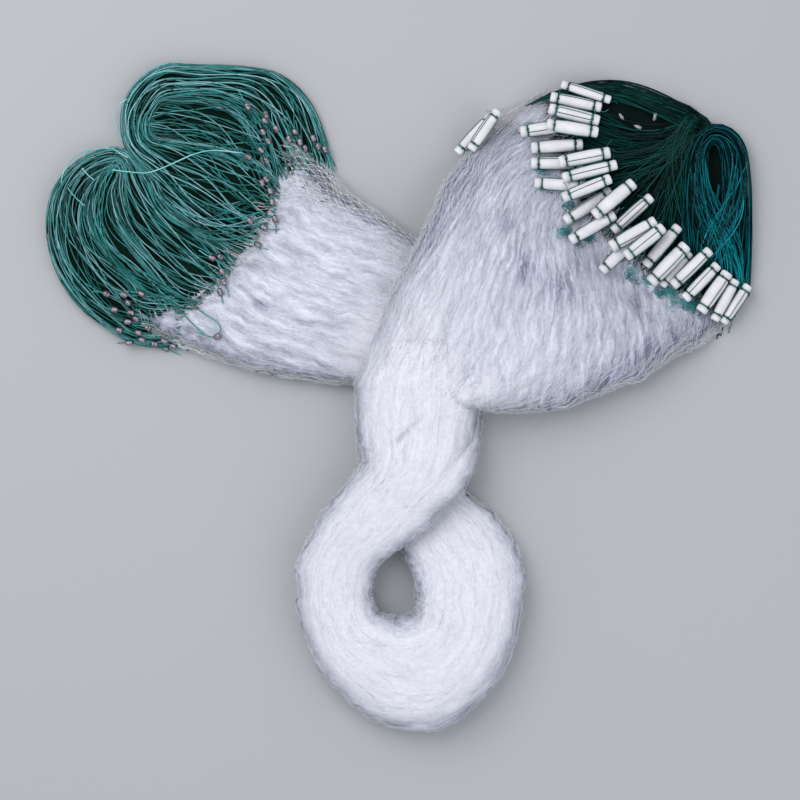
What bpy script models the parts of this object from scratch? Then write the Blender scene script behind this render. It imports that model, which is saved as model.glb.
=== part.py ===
"""A gill net of clear monofilament, made up as a hank and laid down flat.

The netting is gathered into one thick strand. From the lead line it runs under its own other arm, is
twisted once at the neck, goes round a ring, comes back through the neck and spreads out to the floats.
The lead line and the float line lie beside it, each in a hank of its own. Metres, +Z up, floor at z = 0.
"""

import math
from collections import namedtuple

import bmesh
import bpy
from mathutils import Euler, Matrix, Vector
from mathutils.bvhtree import BVHTree

MM = 0.001
UP = Vector((0.0, 0.0, 1.0))
SHARP_ANGLE = math.radians(50)

# Laying pieces down: the gap that stays between two of them and the spacing of the points where it is
# measured, in mm, and how far above the floor a piece starts, in metres.
CLEAR = 0.5
SAMPLE_STEP = 1.0
LIFT = 0.2

# The form of a gathered strand's section, as shares of its half width and of its height.
FLAT_SHARE = 0.8
EDGE_HEIGHT = 0.36
CROWN_POWER = 4
STRAND_COLUMNS = 12
STRAND_STEPS = 2
END_ROWS = 8
HANK_COLUMNS = 8
HANK_STEPS = 2

# How uneven the gathered netting is: shares of its height and width, and how fast they come and go.
LUMP_HEIGHT = 0.06
LUMP_WIDTH = 0.025
LUMP_ALONG = 2.1
LUMP_ACROSS = 5.0

# One section across a gathered strand. x and y are its middle, turn is the direction of its left edge in
# degrees, half is half its width, top is the height of its crown, bow is how far its middle is pushed on
# along the run, and left, middle and right are the heights of its underside. All lengths in mm.
Section = namedtuple(
    "Section", "x y turn half top bow left middle right", defaults=(0, 0, 0, 0)
)

NETTING = (
    # the arm that comes from the lead line
    Section(-157, 149, 52, 121, 12, bow=-8),
    Section(-140, 137, 52, 114, 25, bow=-5),
    Section(-112, 119, 54, 105, 38),
    Section(-70, 102, 58, 95, 40),
    Section(-22, 85, 62, 82, 33),
    Section(18, 61, 52, 67, 31),
    Section(43, 24, 33, 51, 28),
    Section(52, -6, 10, 34, 27),
    # over the other strand at the neck
    Section(53, -29, -6, 28, 36, left=1, middle=3, right=6),
    Section(45, -49, -20, 35, 55, left=14, middle=25, right=34),
    Section(28, -70, -26, 42, 65, left=34, middle=35, right=36),
    Section(2, -92, -28, 46, 67, left=36, middle=35, right=28),
    Section(-27, -125, -20, 46, 63, left=36, middle=18),
    # round the ring
    Section(-58, -160, -9, 39, 57),
    Section(-65, -197, 2, 37, 54),
    Section(-54, -238, 37, 39, 54),
    Section(-31, -261, 64, 47, 55),
    Section(0, -277, 90, 56, 56),
    Section(37, -271, 114, 56, 57),
    Section(63, -244, 141, 50, 56),
    Section(74, -208, 170, 47, 54),
    Section(73, -172, 184, 48, 50),
    Section(56, -142, 198, 48, 40),
    # under the first strand at the neck
    Section(25, -109, 208, 39, 28),
    Section(1, -80, 205, 35, 27),
    Section(-13, -58, 195, 30, 26),
    Section(-16, -41, 184, 27, 36, middle=2, right=8),
    Section(-10, -23, 172, 32, 53, left=2, middle=14, right=32),
    # the arm that spreads to the floats, over the other arm
    Section(14, -1, 168, 59, 65, left=28, middle=36, right=37),
    Section(34, 24, 146, 70, 68, left=36, middle=36, right=35),
    Section(66, 51, 136, 95, 68, left=36, middle=33),
    Section(105, 80, 136, 117, 65, left=34, middle=12),
    Section(141, 113, 136, 137, 58, left=22),
    Section(172, 143, 136, 147, 46, bow=-14),
    Section(200, 165, 134, 153, 26, bow=-30),
    Section(220, 181, 132, 154, 8, bow=-44),
)

# The lead line's hank: two lobes, each a broad bundle of bights bent back on itself.
LEAD_UPPER_ARCH = (
    Section(-103, 236, 188, 34, 10),
    Section(-117, 270, 198, 36, 18),
    Section(-130, 291, 209, 34, 22),
    Section(-152, 306, 216, 32, 23),
    Section(-180, 312, 226, 26, 23),
    Section(-210, 313, 244, 21, 22),
    Section(-236, 313, 267, 20, 22),
    Section(-253, 301, 296, 19, 22),
    Section(-263, 282, 336, 17, 22),
    Section(-263, 262, 366, 18, 20),
)
LEAD_MIDDLE_BAND = (
    Section(-270, 262, 54, 18, 18),
    Section(-240, 242, 41, 27, 23),
    Section(-204, 221, 43, 43, 24),
    Section(-164, 195, 62, 46, 22),
    Section(-134, 178, 74, 40, 12),
)
LEAD_LOWER_ARCH = (
    Section(-226, 78, 277, 29, 12),
    Section(-258, 79, 265, 29, 17),
    Section(-279, 92, 243, 29, 21),
    Section(-305, 115, 229, 30, 22),
    Section(-323, 143, 214, 28, 22),
    Section(-332, 175, 195, 24, 22),
    Section(-329, 202, 176, 21, 22),
    Section(-315, 221, 159, 17, 21),
    Section(-291, 233, 141, 14, 20),
    Section(-267, 238, 124, 12, 18),
)
LEAD_FRONT_BAND = (
    Section(-275, 232, 15, 15, 18),
    Section(-270, 201, 12, 25, 23),
    Section(-249, 167, 22, 31, 24),
    Section(-207, 128, 39, 38, 22),
    Section(-180, 113, 50, 28, 12),
)
LEAD_BANDS = (
    ("lead_middle_band", LEAD_MIDDLE_BAND),
    ("lead_lower_arch", LEAD_LOWER_ARCH),
    ("lead_front_band", LEAD_FRONT_BAND),
)

# The float line's hank: a broad sweep from the floats to where it is gathered, and a lobe round an eye.
FLOAT_SWEEP = (
    Section(211, 183, 131, 141, 10, bow=-42),
    Section(245, 223, 123, 111, 15, bow=-27),
    Section(263, 242, 112, 76, 20, bow=-12),
    Section(278, 258, 104, 43, 23),
    Section(296, 273, 95, 17, 23),
)
FLOAT_LOBE = (
    Section(330, 97, 168, 15, 9),
    Section(324, 129, 170, 28, 18),
    Section(320, 178, 174, 34, 23),
    Section(319, 225, 178, 34, 24),
    Section(319, 257, 178, 26, 23),
    Section(319, 273, 178, 13, 18),
)
EYE_AT = (313, 244)
EYE_SIZE = (17, 44)
EYE_TURN = 4
EYE_DEPTH = 100
EYE_SIDES = 12

# A turned piece: places along it as a share of its length, and radii as a share of its largest.
Turned = namedtuple("Turned", "along radius")
FLOAT_FORM = (
    Turned(-0.5, 0.80),
    Turned(-0.40, 0.88),
    Turned(-0.365, 0.74),
    Turned(-0.33, 0.92),
    Turned(0.0, 1.0),
    Turned(0.33, 0.92),
    Turned(0.365, 0.74),
    Turned(0.40, 0.88),
    Turned(0.5, 0.80),
)
SINKER_FORM = (
    Turned(-0.5, 0.6),
    Turned(-0.22, 1.0),
    Turned(0.22, 1.0),
    Turned(0.5, 0.6),
)
TURNED_SIDES = 8
FLOAT_LENGTH = 52
SINKER_LENGTH = 7.5
SINKER_ACROSS = 5.8

# Where each float lies: its middle, its direction and its tilt in degrees, its diameter, and any own length.
# They are laid down in this order, each on what is already there.
Float = namedtuple("Float", "x y turn across tilt length", defaults=(0, FLOAT_LENGTH))
FLOATS = (
    Float(146, 268, 8, 13),
    Float(157, 233, 0, 13),
    Float(160, 211, -4, 12),
    Float(192, 168, 30, 12, tilt=-4),
    Float(218, 141, 44, 12, tilt=-4, length=48),
    Float(276, 127, 49, 11, length=44),
    Float(186, 304, -18, 10),
    Float(176, 294, -12, 12),
    Float(174, 281, -14, 13),
    Float(172, 267, -9, 13),
    Float(157, 250, 4, 13),
    Float(184, 238, 11, 14),
    Float(189, 224, 14, 12, length=56),
    Float(186, 207, 22, 12),
    Float(188, 190, 33, 13, length=56),
    Float(213, 196, 40, 14),
    Float(232, 182, 42, 12),
    Float(232, 161, 30, 14),
    Float(243, 153, 38, 13, length=48),
    Float(262, 150, 50, 12),
    Float(268, 132, 46, 15),
    Float(291, 128, 44, 12),
    Float(301, 114, 46, 12, length=48),
    Float(314, 104, 55, 14, length=48),
    Float(325, 96, 62, 11, length=46),
    Float(336, 92, 56, 11, length=46),
    Float(74.2, 261, 47, 11, length=50),
    Float(84, 265, 55, 11, length=48),
)
# Where each sinker lies: its middle and its direction in degrees.
Sinker = namedtuple("Sinker", "x y turn")
SINKERS = (
    Sinker(-152, 289, -60),
    Sinker(-134, 281, -70),
    Sinker(-137, 264, -65),
    Sinker(-124, 267, -60),
    Sinker(-105, 264, -70),
    Sinker(-87, 258, -60),
    Sinker(-75, 247, -50),
    Sinker(-100, 254, -80),
    Sinker(-139, 246, -40),
    Sinker(-152, 239, -30),
    Sinker(-134, 217, -50),
    Sinker(-130, 205, -70),
    Sinker(-125, 177, -80),
    Sinker(-136, 168, -20),
    Sinker(-188, 138, -25),
    Sinker(-178, 124, -70),
    Sinker(-176, 114, -60),
    Sinker(-293, 102, -20),
    Sinker(-276, 101, -15),
    Sinker(-285, 86, -10),
    Sinker(-272, 74, -10),
    Sinker(-252, 68, -20),
    Sinker(-271, 53, -5),
    Sinker(-236, 55, -30),
)

# Loose stretches of the lead line: points on the middle of the cord, in mm.
Point = namedtuple("Point", "x y z")
CORD_ACROSS = 1.3
CORD_STEP = 3.0
LOOP_ROUTE = (
    Point(-240, 105, 11),
    Point(-232, 95, 14.2),
    Point(-219, 84, 15.5),
    Point(-208, 73, 18.5),
    Point(-199, 64.5, 23),
    Point(-191, 59.5, 26.5),
    Point(-185, 59, 29),
    Point(-181, 62, 30.5),
    Point(-178.5, 66.5, 31.5),
    Point(-182, 73, 30),
    Point(-192, 80, 25),
    Point(-203, 88, 20.5),
    Point(-209, 96, 19),
    Point(-212, 106, 19.5),
)
LOOP_SINKER = Sinker(-180, 55.5, 15)
END_ROUTE = (
    Point(-288, 226, 20.6),
    Point(-279, 225, 20.9),
    Point(-270, 224, 21.4),
    Point(-254, 223, 22),
    Point(-239, 227, 24.8),
    Point(-223, 234, 25.4),
    Point(-207, 241, 25),
    Point(-192, 245, 23.6),
    Point(-176, 245, 20.9),
    Point(-158, 243, 17),
)


def clear_scene():
    for old in list(bpy.data.objects):
        bpy.data.objects.remove(old, do_unlink=True)


def finish(name, colour, roughness, metallic=0.0):
    """A plain material with one colour."""
    material = bpy.data.materials.new(name)
    material.use_nodes = True
    shader = material.node_tree.nodes["Principled BSDF"]
    shader.inputs["Base Color"].default_value = (*colour, 1.0)
    shader.inputs["Roughness"].default_value = roughness
    shader.inputs["Metallic"].default_value = metallic
    return material


def add(name, mesh, material=None):
    """Puts a mesh in the scene under a name."""
    piece = bpy.data.objects.new(name, mesh)
    bpy.context.scene.collection.objects.link(piece)
    if material:
        mesh.materials.append(material)
    return piece


def data_from(name, mesh):
    """Turns a finished bmesh into smooth-shaded mesh data with its faces pointing out."""
    bmesh.ops.recalc_face_normals(mesh, faces=mesh.faces)
    data = bpy.data.meshes.new(name)
    mesh.to_mesh(data)
    mesh.free()
    data.shade_smooth()
    data.set_sharp_from_angle(angle=SHARP_ANGLE)
    return data


def curve_between(before, start, end, after, share):
    """A smooth curve's value at a share of the way from start to end."""
    cubic = 3 * (start - end) + after - before
    square = 2 * before - 5 * start + 4 * end - after
    return start + 0.5 * share * (end - before + share * (square + share * cubic))


def smoothed(rows, steps):
    """The rows of a table with steps - 1 more between each two, on a smooth curve."""
    kind = type(rows[0])
    ends = [rows[0], *rows, rows[-1]]
    result = []
    for i in range(len(rows) - 1):
        columns = list(zip(*ends[i : i + 4]))
        for k in range(steps):
            result.append(kind(*(curve_between(*column, k / steps) for column in columns)))
    return result + [rows[-1]]


def underside(section, share):
    """How high a section's underside is, at a share of its half width."""
    tilt = (section.left - section.right) / 2
    sag = (section.left + section.right) / 2 - section.middle
    return max(0.0, section.middle + share * tilt + share * share * sag)


def directions(section):
    """The directions across a section, to its left edge, and ahead along the run."""
    turn = math.radians(section.turn)
    across = Vector((math.cos(turn), math.sin(turn), 0.0))
    return across, across.cross(UP)


def section_points(section, columns, grow):
    """Points over a section's crown and along its underside, from its left edge to its right."""
    across, ahead = directions(section)
    over = []
    under = []
    for k in range(columns + 1):
        share = math.cos(math.pi * k / columns)
        place = Vector((section.x, section.y, 0.0))
        place += across * share * (section.half + 2 * grow)
        place += ahead * section.bow * (1 - share * share)
        low = underside(section, share)
        height = section.top - low
        crown = EDGE_HEIGHT + (1 - EDGE_HEIGHT) * math.sqrt(1 - abs(share) ** CROWN_POWER)
        rise = max(0.0, (abs(share) - FLAT_SHARE) / (1 - FLAT_SHARE)) ** 2
        spread = grow if 0 < k < columns else 0.0
        over.append(place + UP * (low + height * crown + spread))
        under.append(place + UP * (low + height * EDGE_HEIGHT * rise - spread))
    return over, under


def strand(name, sections, columns, material=None, grow=0.0, lumps=0.0, first=0):
    """A closed strand through its sections, with strips from crown to underside across its ends."""
    mesh = bmesh.new()
    rings = []
    for i, section in enumerate(sections, first):
        wave = math.sin(LUMP_ALONG * i)
        section = section._replace(half=section.half * (1 + lumps * LUMP_WIDTH * wave))
        over, under = section_points(section, columns, grow)
        for k, point in enumerate(over):
            lump = math.sin(LUMP_ALONG * i + LUMP_ACROSS * k) * math.sin(math.pi * k / columns)
            point.z += lumps * LUMP_HEIGHT * lump * (section.top - section.middle)
        push = directions(section)[1] * (-grow if i == first else grow)
        top = [mesh.verts.new((point + push) * MM) for point in over]
        bottom = [mesh.verts.new((point + push) * MM) for point in under[1:-1]]
        rings.append((top, bottom))
    for near, far in zip(rings, rings[1:]):
        near_loop = near[0] + near[1][::-1]
        far_loop = far[0] + far[1][::-1]
        for k in range(len(near_loop)):
            n = (k + 1) % len(near_loop)
            mesh.faces.new((near_loop[k], near_loop[n], far_loop[n], far_loop[k]))
    for top, bottom in (rings[0], rings[-1]):
        below = [top[0], *bottom, top[-1]]
        for k in range(columns):
            corners = [top[k], top[k + 1], below[k + 1], below[k]]
            mesh.faces.new(list(dict.fromkeys(corners)))
    bmesh.ops.triangulate(mesh, faces=mesh.faces, quad_method="FIXED")
    return add(name, data_from(name, mesh), material)


def combine(piece, other, operation):
    """Joins another solid to a piece or cuts it out of it, and keeps the other as a guide."""
    other.hide_render = True
    other.display_type = "WIRE"
    modifier = piece.modifiers.new(other.name, "BOOLEAN")
    modifier.operation = operation
    modifier.solver = "EXACT"
    modifier.object = other


def eye_cutter(name):
    """An upright oval prism that opens the float line's lobe."""
    mesh = bmesh.new()
    bmesh.ops.create_cone(
        mesh, segments=EYE_SIDES, radius1=1.0, radius2=1.0, depth=1.0, cap_ends=True
    )
    size = Matrix.Diagonal((EYE_SIZE[0] / 2 * MM, EYE_SIZE[1] / 2 * MM, EYE_DEPTH * MM, 1.0))
    turn = Matrix.Rotation(math.radians(EYE_TURN), 4, "Z")
    place = Matrix.Translation((EYE_AT[0] * MM, EYE_AT[1] * MM, 0.0))
    mesh.transform(place @ turn @ size)
    return add(name, data_from(name, mesh))


def turned_mesh(name, form, length, across):
    """A piece turned about its own X axis."""
    mesh = bmesh.new()
    rings = []
    for row in form:
        ring = []
        for k in range(TURNED_SIDES):
            angle = 2 * math.pi * (k + 0.5) / TURNED_SIDES
            radius = row.radius * across / 2
            place = (row.along * length, radius * math.cos(angle), radius * math.sin(angle))
            ring.append(mesh.verts.new(Vector(place) * MM))
        rings.append(ring)
    for near, far in zip(rings, rings[1:]):
        for k in range(TURNED_SIDES):
            n = (k + 1) % TURNED_SIDES
            mesh.faces.new((near[k], near[n], far[n], far[k]))
    mesh.faces.new(rings[0])
    mesh.faces.new(rings[-1][::-1])
    return data_from(name, mesh)


class Surface:
    """A piece's surface as it lies, with points close together along all its edges."""

    def __init__(self, piece):
        depsgraph = bpy.context.evaluated_depsgraph_get()
        evaluated = piece.evaluated_get(depsgraph)
        data = evaluated.to_mesh()
        place = piece.matrix_world
        self.corners = [place @ vertex.co for vertex in data.vertices]
        data.calc_loop_triangles()
        self.faces = [tuple(face.vertices) for face in data.loop_triangles]
        self.points = []
        edges = {tuple(sorted((face[i - 1], face[i]))) for face in self.faces for i in range(3)}
        for edge in sorted(edges):
            start, end = (self.corners[i] for i in edge)
            count = max(1, math.ceil((end - start).length / (SAMPLE_STEP * MM)))
            self.points += [start.lerp(end, k / count) for k in range(count + 1)]
        evaluated.to_mesh_clear()
        self.tree = BVHTree.FromPolygons(self.corners, self.faces)
        self.low = Vector([min(corner[i] for corner in self.corners) for i in range(3)])
        self.high = Vector([max(corner[i] for corner in self.corners) for i in range(3)])

    def covers(self, point):
        """Whether a point is inside this piece's outline box, seen from above."""
        return all(self.low[i] <= point[i] <= self.high[i] for i in range(2))


def room_below(piece, support):
    """The shortest way straight down from a piece to a support, both given as surfaces."""
    drops = []
    for point in piece.points:
        if support.covers(point):
            hit = support.tree.ray_cast(point, -UP)[0]
            if hit:
                drops.append(point.z - hit.z)
    for point in support.points:
        if piece.covers(point):
            hit = piece.tree.ray_cast(point, UP)[0]
            if hit:
                drops.append(hit.z - point.z)
    return min(drops, default=math.inf)


def lay_down(piece, supports):
    """Lowers a piece from above until it lies just clear of the supports or on the floor."""
    piece.location.z += LIFT
    bpy.context.view_layer.update()
    surface = Surface(piece)
    room = min(room_below(surface, support) for support in supports)
    drop = min(room - CLEAR * MM, surface.low.z)
    piece.location.z -= drop
    bpy.context.view_layer.update()
    supports.append(Surface(piece))


def turned_piece(name, mesh, material, row, tilt=0.0):
    """Places a turned piece flat or tilted."""
    piece = add(name, mesh, material)
    piece.location = Vector((row.x, row.y, 0.0)) * MM
    piece.rotation_euler = Euler((0.0, -math.radians(tilt), math.radians(row.turn)))
    bpy.context.view_layer.update()
    return piece


def cord(name, route, material):
    """A round cord along a smooth curve through its route."""
    length = sum(math.dist(a, b) for a, b in zip(route, route[1:]))
    steps = math.ceil(length / CORD_STEP / (len(route) - 1))
    points = smoothed(route, steps)
    data = bpy.data.curves.new(name, "CURVE")
    data.dimensions = "3D"
    data.bevel_depth = CORD_ACROSS / 2 * MM
    data.bevel_resolution = 2
    data.use_fill_caps = True
    spline = data.splines.new("POLY")
    spline.points.add(len(points) - 1)
    for target, point in zip(spline.points, points):
        target.co = (*(Vector(point) * MM), 1.0)
    piece = bpy.data.objects.new(name, data)
    bpy.context.scene.collection.objects.link(piece)
    data.materials.append(material)
    return piece


def build():
    clear_scene()
    clear_nylon = finish("clear_nylon_netting", (0.75, 0.75, 0.82), 0.35)
    lead_cord = finish("green_lead_line", (0.01, 0.16, 0.09), 0.3)
    float_cord = finish("dark_green_float_line", (0.005, 0.06, 0.05), 0.35)
    foam = finish("white_float_foam", (0.8, 0.78, 0.8), 0.6)
    lead = finish("grey_lead", (0.23, 0.21, 0.24), 0.4, 0.8)

    run = smoothed(NETTING, STRAND_STEPS)
    netting = strand("netting", run, STRAND_COLUMNS, clear_nylon, lumps=1.0)
    lead_end = strand("netting_at_leads", run[:END_ROWS], STRAND_COLUMNS, grow=CLEAR, lumps=1.0)
    float_end = strand(
        "netting_at_floats",
        run[-END_ROWS:],
        STRAND_COLUMNS,
        grow=CLEAR,
        lumps=1.0,
        first=len(run) - END_ROWS,
    )

    lead_line = strand("lead_line", smoothed(LEAD_UPPER_ARCH, HANK_STEPS), HANK_COLUMNS, lead_cord)
    for name, rows in LEAD_BANDS:
        combine(lead_line, strand(name, smoothed(rows, HANK_STEPS), HANK_COLUMNS), "UNION")
    combine(lead_line, lead_end, "DIFFERENCE")

    float_line = strand("float_line", smoothed(FLOAT_SWEEP, HANK_STEPS), HANK_COLUMNS, float_cord)
    combine(float_line, strand("float_lobe", smoothed(FLOAT_LOBE, HANK_STEPS), HANK_COLUMNS), "UNION")
    combine(float_line, eye_cutter("float_eye"), "DIFFERENCE")
    combine(float_line, float_end, "DIFFERENCE")

    bpy.context.view_layer.update()
    beds = [Surface(piece) for piece in (netting, float_line)]
    for i, row in enumerate(FLOATS, 1):
        name = f"float_{i:02d}"
        mesh = turned_mesh(name, FLOAT_FORM, row.length, row.across)
        lay_down(turned_piece(name, mesh, foam, row, tilt=row.tilt), beds)

    beds = [Surface(piece) for piece in (netting, lead_line)]
    sinker_mesh = turned_mesh("sinker", SINKER_FORM, SINKER_LENGTH, SINKER_ACROSS)
    sinker_mesh.materials.append(lead)
    for i, row in enumerate(SINKERS, 1):
        lay_down(turned_piece(f"sinker_{i:02d}", sinker_mesh, None, row), beds)
    lay_down(turned_piece("sinker_on_loop", sinker_mesh, None, LOOP_SINKER), beds)

    cord("lead_line_loop", LOOP_ROUTE, lead_cord)
    cord("lead_line_end", END_ROUTE, lead_cord)


build()
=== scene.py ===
# %% [markdown]
# # A gill net made up as a hank
#
# A gill net is one long sheet of clear nylon mesh. Its lower edge is tied to a lead line, which carries
# pinched sinkers, and its upper edge to a float line with foam floats. To store it, the netting is gathered
# into one thick strand, twisted at the neck and laid in a ring, and each line is laid in a hank beside it.
#
# The solids of the part come in as a fixed frame. This lesson lays the net's real surface over them: loose
# fibres of netting, separate bights of line, lashed floats and pinched lead. All sizes are in millimetres
# until a mesh is made, and MM turns them into metres.

# %% The frame and its box
import math
import random
from collections import namedtuple

import bmesh
import bpy
import numpy as np
from mathutils import Matrix, Vector, noise
from mathutils.bvhtree import BVHTree
from mathutils.geometry import interpolate_bezier


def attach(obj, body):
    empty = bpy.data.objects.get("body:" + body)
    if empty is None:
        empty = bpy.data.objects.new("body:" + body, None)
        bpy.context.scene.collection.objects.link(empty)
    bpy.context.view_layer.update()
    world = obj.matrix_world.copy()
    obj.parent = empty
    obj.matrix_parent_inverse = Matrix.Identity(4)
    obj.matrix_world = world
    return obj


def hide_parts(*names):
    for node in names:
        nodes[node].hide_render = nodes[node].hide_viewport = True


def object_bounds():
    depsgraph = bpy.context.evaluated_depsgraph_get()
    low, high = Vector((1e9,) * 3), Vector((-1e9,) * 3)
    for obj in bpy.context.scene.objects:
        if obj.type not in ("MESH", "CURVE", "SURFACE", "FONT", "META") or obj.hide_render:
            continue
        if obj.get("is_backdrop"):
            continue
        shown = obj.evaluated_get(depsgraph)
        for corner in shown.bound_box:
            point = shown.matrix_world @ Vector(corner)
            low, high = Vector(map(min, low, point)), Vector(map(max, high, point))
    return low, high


MM = 0.001
UP = Vector((0.0, 0.0, 1.0))
BODY = "root"

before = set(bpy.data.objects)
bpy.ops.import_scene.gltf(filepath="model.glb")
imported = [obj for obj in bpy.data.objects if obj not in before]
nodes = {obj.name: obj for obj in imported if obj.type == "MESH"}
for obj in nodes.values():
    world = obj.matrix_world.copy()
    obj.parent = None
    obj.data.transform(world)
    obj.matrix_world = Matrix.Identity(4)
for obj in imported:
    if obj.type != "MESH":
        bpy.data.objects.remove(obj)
cad_low, cad_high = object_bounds()
middle = (cad_low + cad_high) / 2
print("box of the solids in mm:", [round(x / MM) for x in cad_high - cad_low])

# %% [markdown]
# ## Camera, floor and light
#
# The net lies flat, so it is looked at from straight above. A long lens far away keeps the tall strand from
# leaning outwards at the edges of the view. The floor is a plain pale grey, a little darker than white
# netting, so that the fine edge of the mesh still shows. One broad lamp from the upper left models the
# strands, and a wide, weak one from the other side opens the shadows.

# %% Camera
VIEW_WIDTH = 0.8
CAMERA_HEIGHT = 3.6
VIEW_LEVEL = 0.02
CAMERA_AT = (0.0, -0.004, CAMERA_HEIGHT)
SENSOR = 36.0

camera_data = bpy.data.cameras.new("camera")
camera_data.sensor_width = SENSOR
camera_data.lens = SENSOR * (CAMERA_HEIGHT - VIEW_LEVEL) / VIEW_WIDTH
camera = bpy.data.objects.new("camera", camera_data)
camera.location = CAMERA_AT
bpy.context.scene.collection.objects.link(camera)
bpy.context.scene.camera = camera
print("lens in mm:", round(camera_data.lens))

# %% Floor and lamps
FLOOR_SIZE = 12.0
FLOOR_COLOUR = (0.46, 0.47, 0.49)
COOL_LIGHT = (0.93, 0.96, 1.0)
SKY_COLOUR = (0.93, 0.95, 1.0, 1.0)
SKY_STRENGTH = 0.58


def plain_material(name, colour, roughness):
    """A material with one colour, for what isn't part of the net."""
    material = bpy.data.materials.new(name)
    material.use_nodes = True
    shader = material.node_tree.nodes["Principled BSDF"]
    shader.inputs["Base Color"].default_value = (*colour, 1.0)
    shader.inputs["Roughness"].default_value = roughness
    return material


def lamp(name, place, power, size, colour=(1.0, 1.0, 1.0)):
    """A square area lamp at a place, turned to the middle of the net."""
    data = bpy.data.lights.new(name, "AREA")
    data.energy = power
    data.size = size
    data.color = colour
    piece = bpy.data.objects.new(name, data)
    piece.location = place
    piece.rotation_euler = (middle - Vector(place)).to_track_quat("-Z", "Y").to_euler()
    bpy.context.scene.collection.objects.link(piece)
    return piece


half = FLOOR_SIZE / 2
corners = [(-half, -half, 0.0), (half, -half, 0.0), (half, half, 0.0), (-half, half, 0.0)]
floor_mesh = bpy.data.meshes.new("floor")
floor_mesh.from_pydata(corners, [], [(0, 1, 2, 3)])
floor_mesh.materials.append(plain_material("pale_floor", FLOOR_COLOUR, 0.8))
floor = bpy.data.objects.new("floor", floor_mesh)
bpy.context.scene.collection.objects.link(floor)
floor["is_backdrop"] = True

lamp("key_lamp", (-0.8, 0.8, 1.8), 24, 1.6)
lamp("fill_lamp", (1.2, -0.8, 1.7), 11, 1.8, COOL_LIGHT)
world = bpy.data.worlds.new("studio")
world.use_nodes = True
sky = world.node_tree.nodes["Background"]
sky.inputs["Color"].default_value = SKY_COLOUR
sky.inputs["Strength"].default_value = SKY_STRENGTH
bpy.context.scene.world = world
bpy.context.scene.view_settings.view_transform = "Standard"

# %% [markdown]
# ## Sections of a gathered strand
#
# A strand of netting or of line is drawn as a row of sections. Each has a middle, the direction of its left
# edge, half its width, the height of its crown, how far its middle bows ahead of its edges, and how high
# its underside is at the left edge, the middle and the right edge. The solids were drawn in that way too,
# from nearly the same rows, so fibres laid by them lie on the solids. The last columns say how see-through
# and how thin the netting is there, and so how grey its painted shade is, and how much of its left side is
# loose.

# %% Rows of the netting
Section = namedtuple(
    "Section", "x y turn half top bow left middle right clear thin loose", defaults=(0,) * 7
)

# The thin column also paints the netting greyer where it is thin: a painted shade.
NETTING_ROWS = (
    # the arm that comes from the lead line
    Section(-190, 167, 52, 118, 9, bow=38, clear=0.8, thin=0.7, loose=0.3),
    Section(-174, 157, 52, 117, 13, bow=24, clear=0.1, thin=0.7, loose=0.3),
    Section(-140, 137, 52, 114, 25, bow=-3, thin=0.85, loose=0.4),
    Section(-112, 119, 54, 105, 38, thin=0.75, loose=0.36),
    Section(-70, 102, 58, 95, 40, thin=0.65, loose=0.16),
    Section(-22, 85, 62, 82, 33, thin=0.5),
    Section(18, 61, 52, 67, 31),
    Section(43, 24, 33, 51, 28),
    Section(52, -6, 10, 34, 27),
    # over the other strand at the neck
    Section(53, -29, -6, 28, 36, left=1, middle=3, right=6),
    Section(45, -49, -20, 35, 55, left=14, middle=25, right=34),
    Section(28, -70, -26, 42, 65, left=34, middle=35, right=36),
    Section(2, -92, -28, 46, 67, left=36, middle=35, right=28),
    Section(-27, -125, -20, 46, 63, left=36, middle=18),
    # round the ring
    Section(-58, -160, -9, 39, 57),
    Section(-65, -197, 2, 37, 54),
    Section(-54, -238, 37, 39, 54),
    Section(-31, -261, 64, 47, 55),
    Section(0, -277, 90, 56, 56),
    Section(37, -271, 114, 56, 57),
    Section(63, -244, 141, 50, 56),
    Section(74, -208, 170, 47, 54),
    Section(73, -172, 184, 48, 50),
    Section(56, -142, 198, 48, 40),
    # under the first strand at the neck
    Section(25, -109, 208, 39, 28),
    Section(1, -80, 205, 35, 27),
    Section(-13, -58, 195, 30, 26),
    Section(-16, -41, 184, 27, 36, middle=2, right=8),
    Section(-10, -23, 172, 32, 53, left=2, middle=14, right=32),
    # the arm that spreads to the floats, over the other arm
    Section(14, -1, 168, 59, 65, left=28, middle=36, right=37),
    Section(34, 24, 146, 70, 68, left=36, middle=36, right=35, thin=0.1),
    Section(66, 51, 136, 95, 68, left=36, middle=33, thin=0.35),
    Section(105, 80, 136, 117, 65, left=34, middle=12, thin=0.65),
    Section(141, 113, 136, 137, 58, left=22, thin=1.0),
    Section(172, 143, 136, 147, 46, bow=-14, thin=1.0),
    Section(200, 165, 134, 153, 26, bow=-30, thin=1.0),
    Section(227, 183, 132, 149, 13, bow=-43, thin=1.0),
    Section(242, 194, 132, 149, 9, bow=-46, clear=0.7, thin=1.0),
)
print("rows of the netting:", len(NETTING_ROWS))

# %% Points of a section
FLAT_SHARE = 0.8
EDGE_HEIGHT = 0.36
CROWN_POWER = 4
# An inner form's underside is raised by no more than this, in mm.
BELLY_INSET = 0.3


def curve_between(before, start, end, after, share):
    """A smooth curve's value at a share of the way from start to end."""
    cubic = 3 * (start - end) + after - before
    square = 2 * before - 5 * start + 4 * end - after
    return start + 0.5 * share * (end - before + share * (square + share * cubic))


def smoothed(rows, steps):
    """The rows of a table with steps - 1 more between each two, on a smooth curve."""
    kind = type(rows[0])
    ends = [rows[0], *rows, rows[-1]]
    result = []
    for i in range(len(rows) - 1):
        columns = list(zip(*ends[i : i + 4]))
        for k in range(steps):
            result.append(kind(*(curve_between(*column, k / steps) for column in columns)))
    return result + [rows[-1]]


def pointing(degrees):
    """The level direction at an angle."""
    return Vector((math.cos(math.radians(degrees)), math.sin(math.radians(degrees)), 0.0))


def directions(section):
    """The directions across a section, to its left edge, and ahead along the run."""
    across = pointing(section.turn)
    return across, across.cross(UP)


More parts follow.
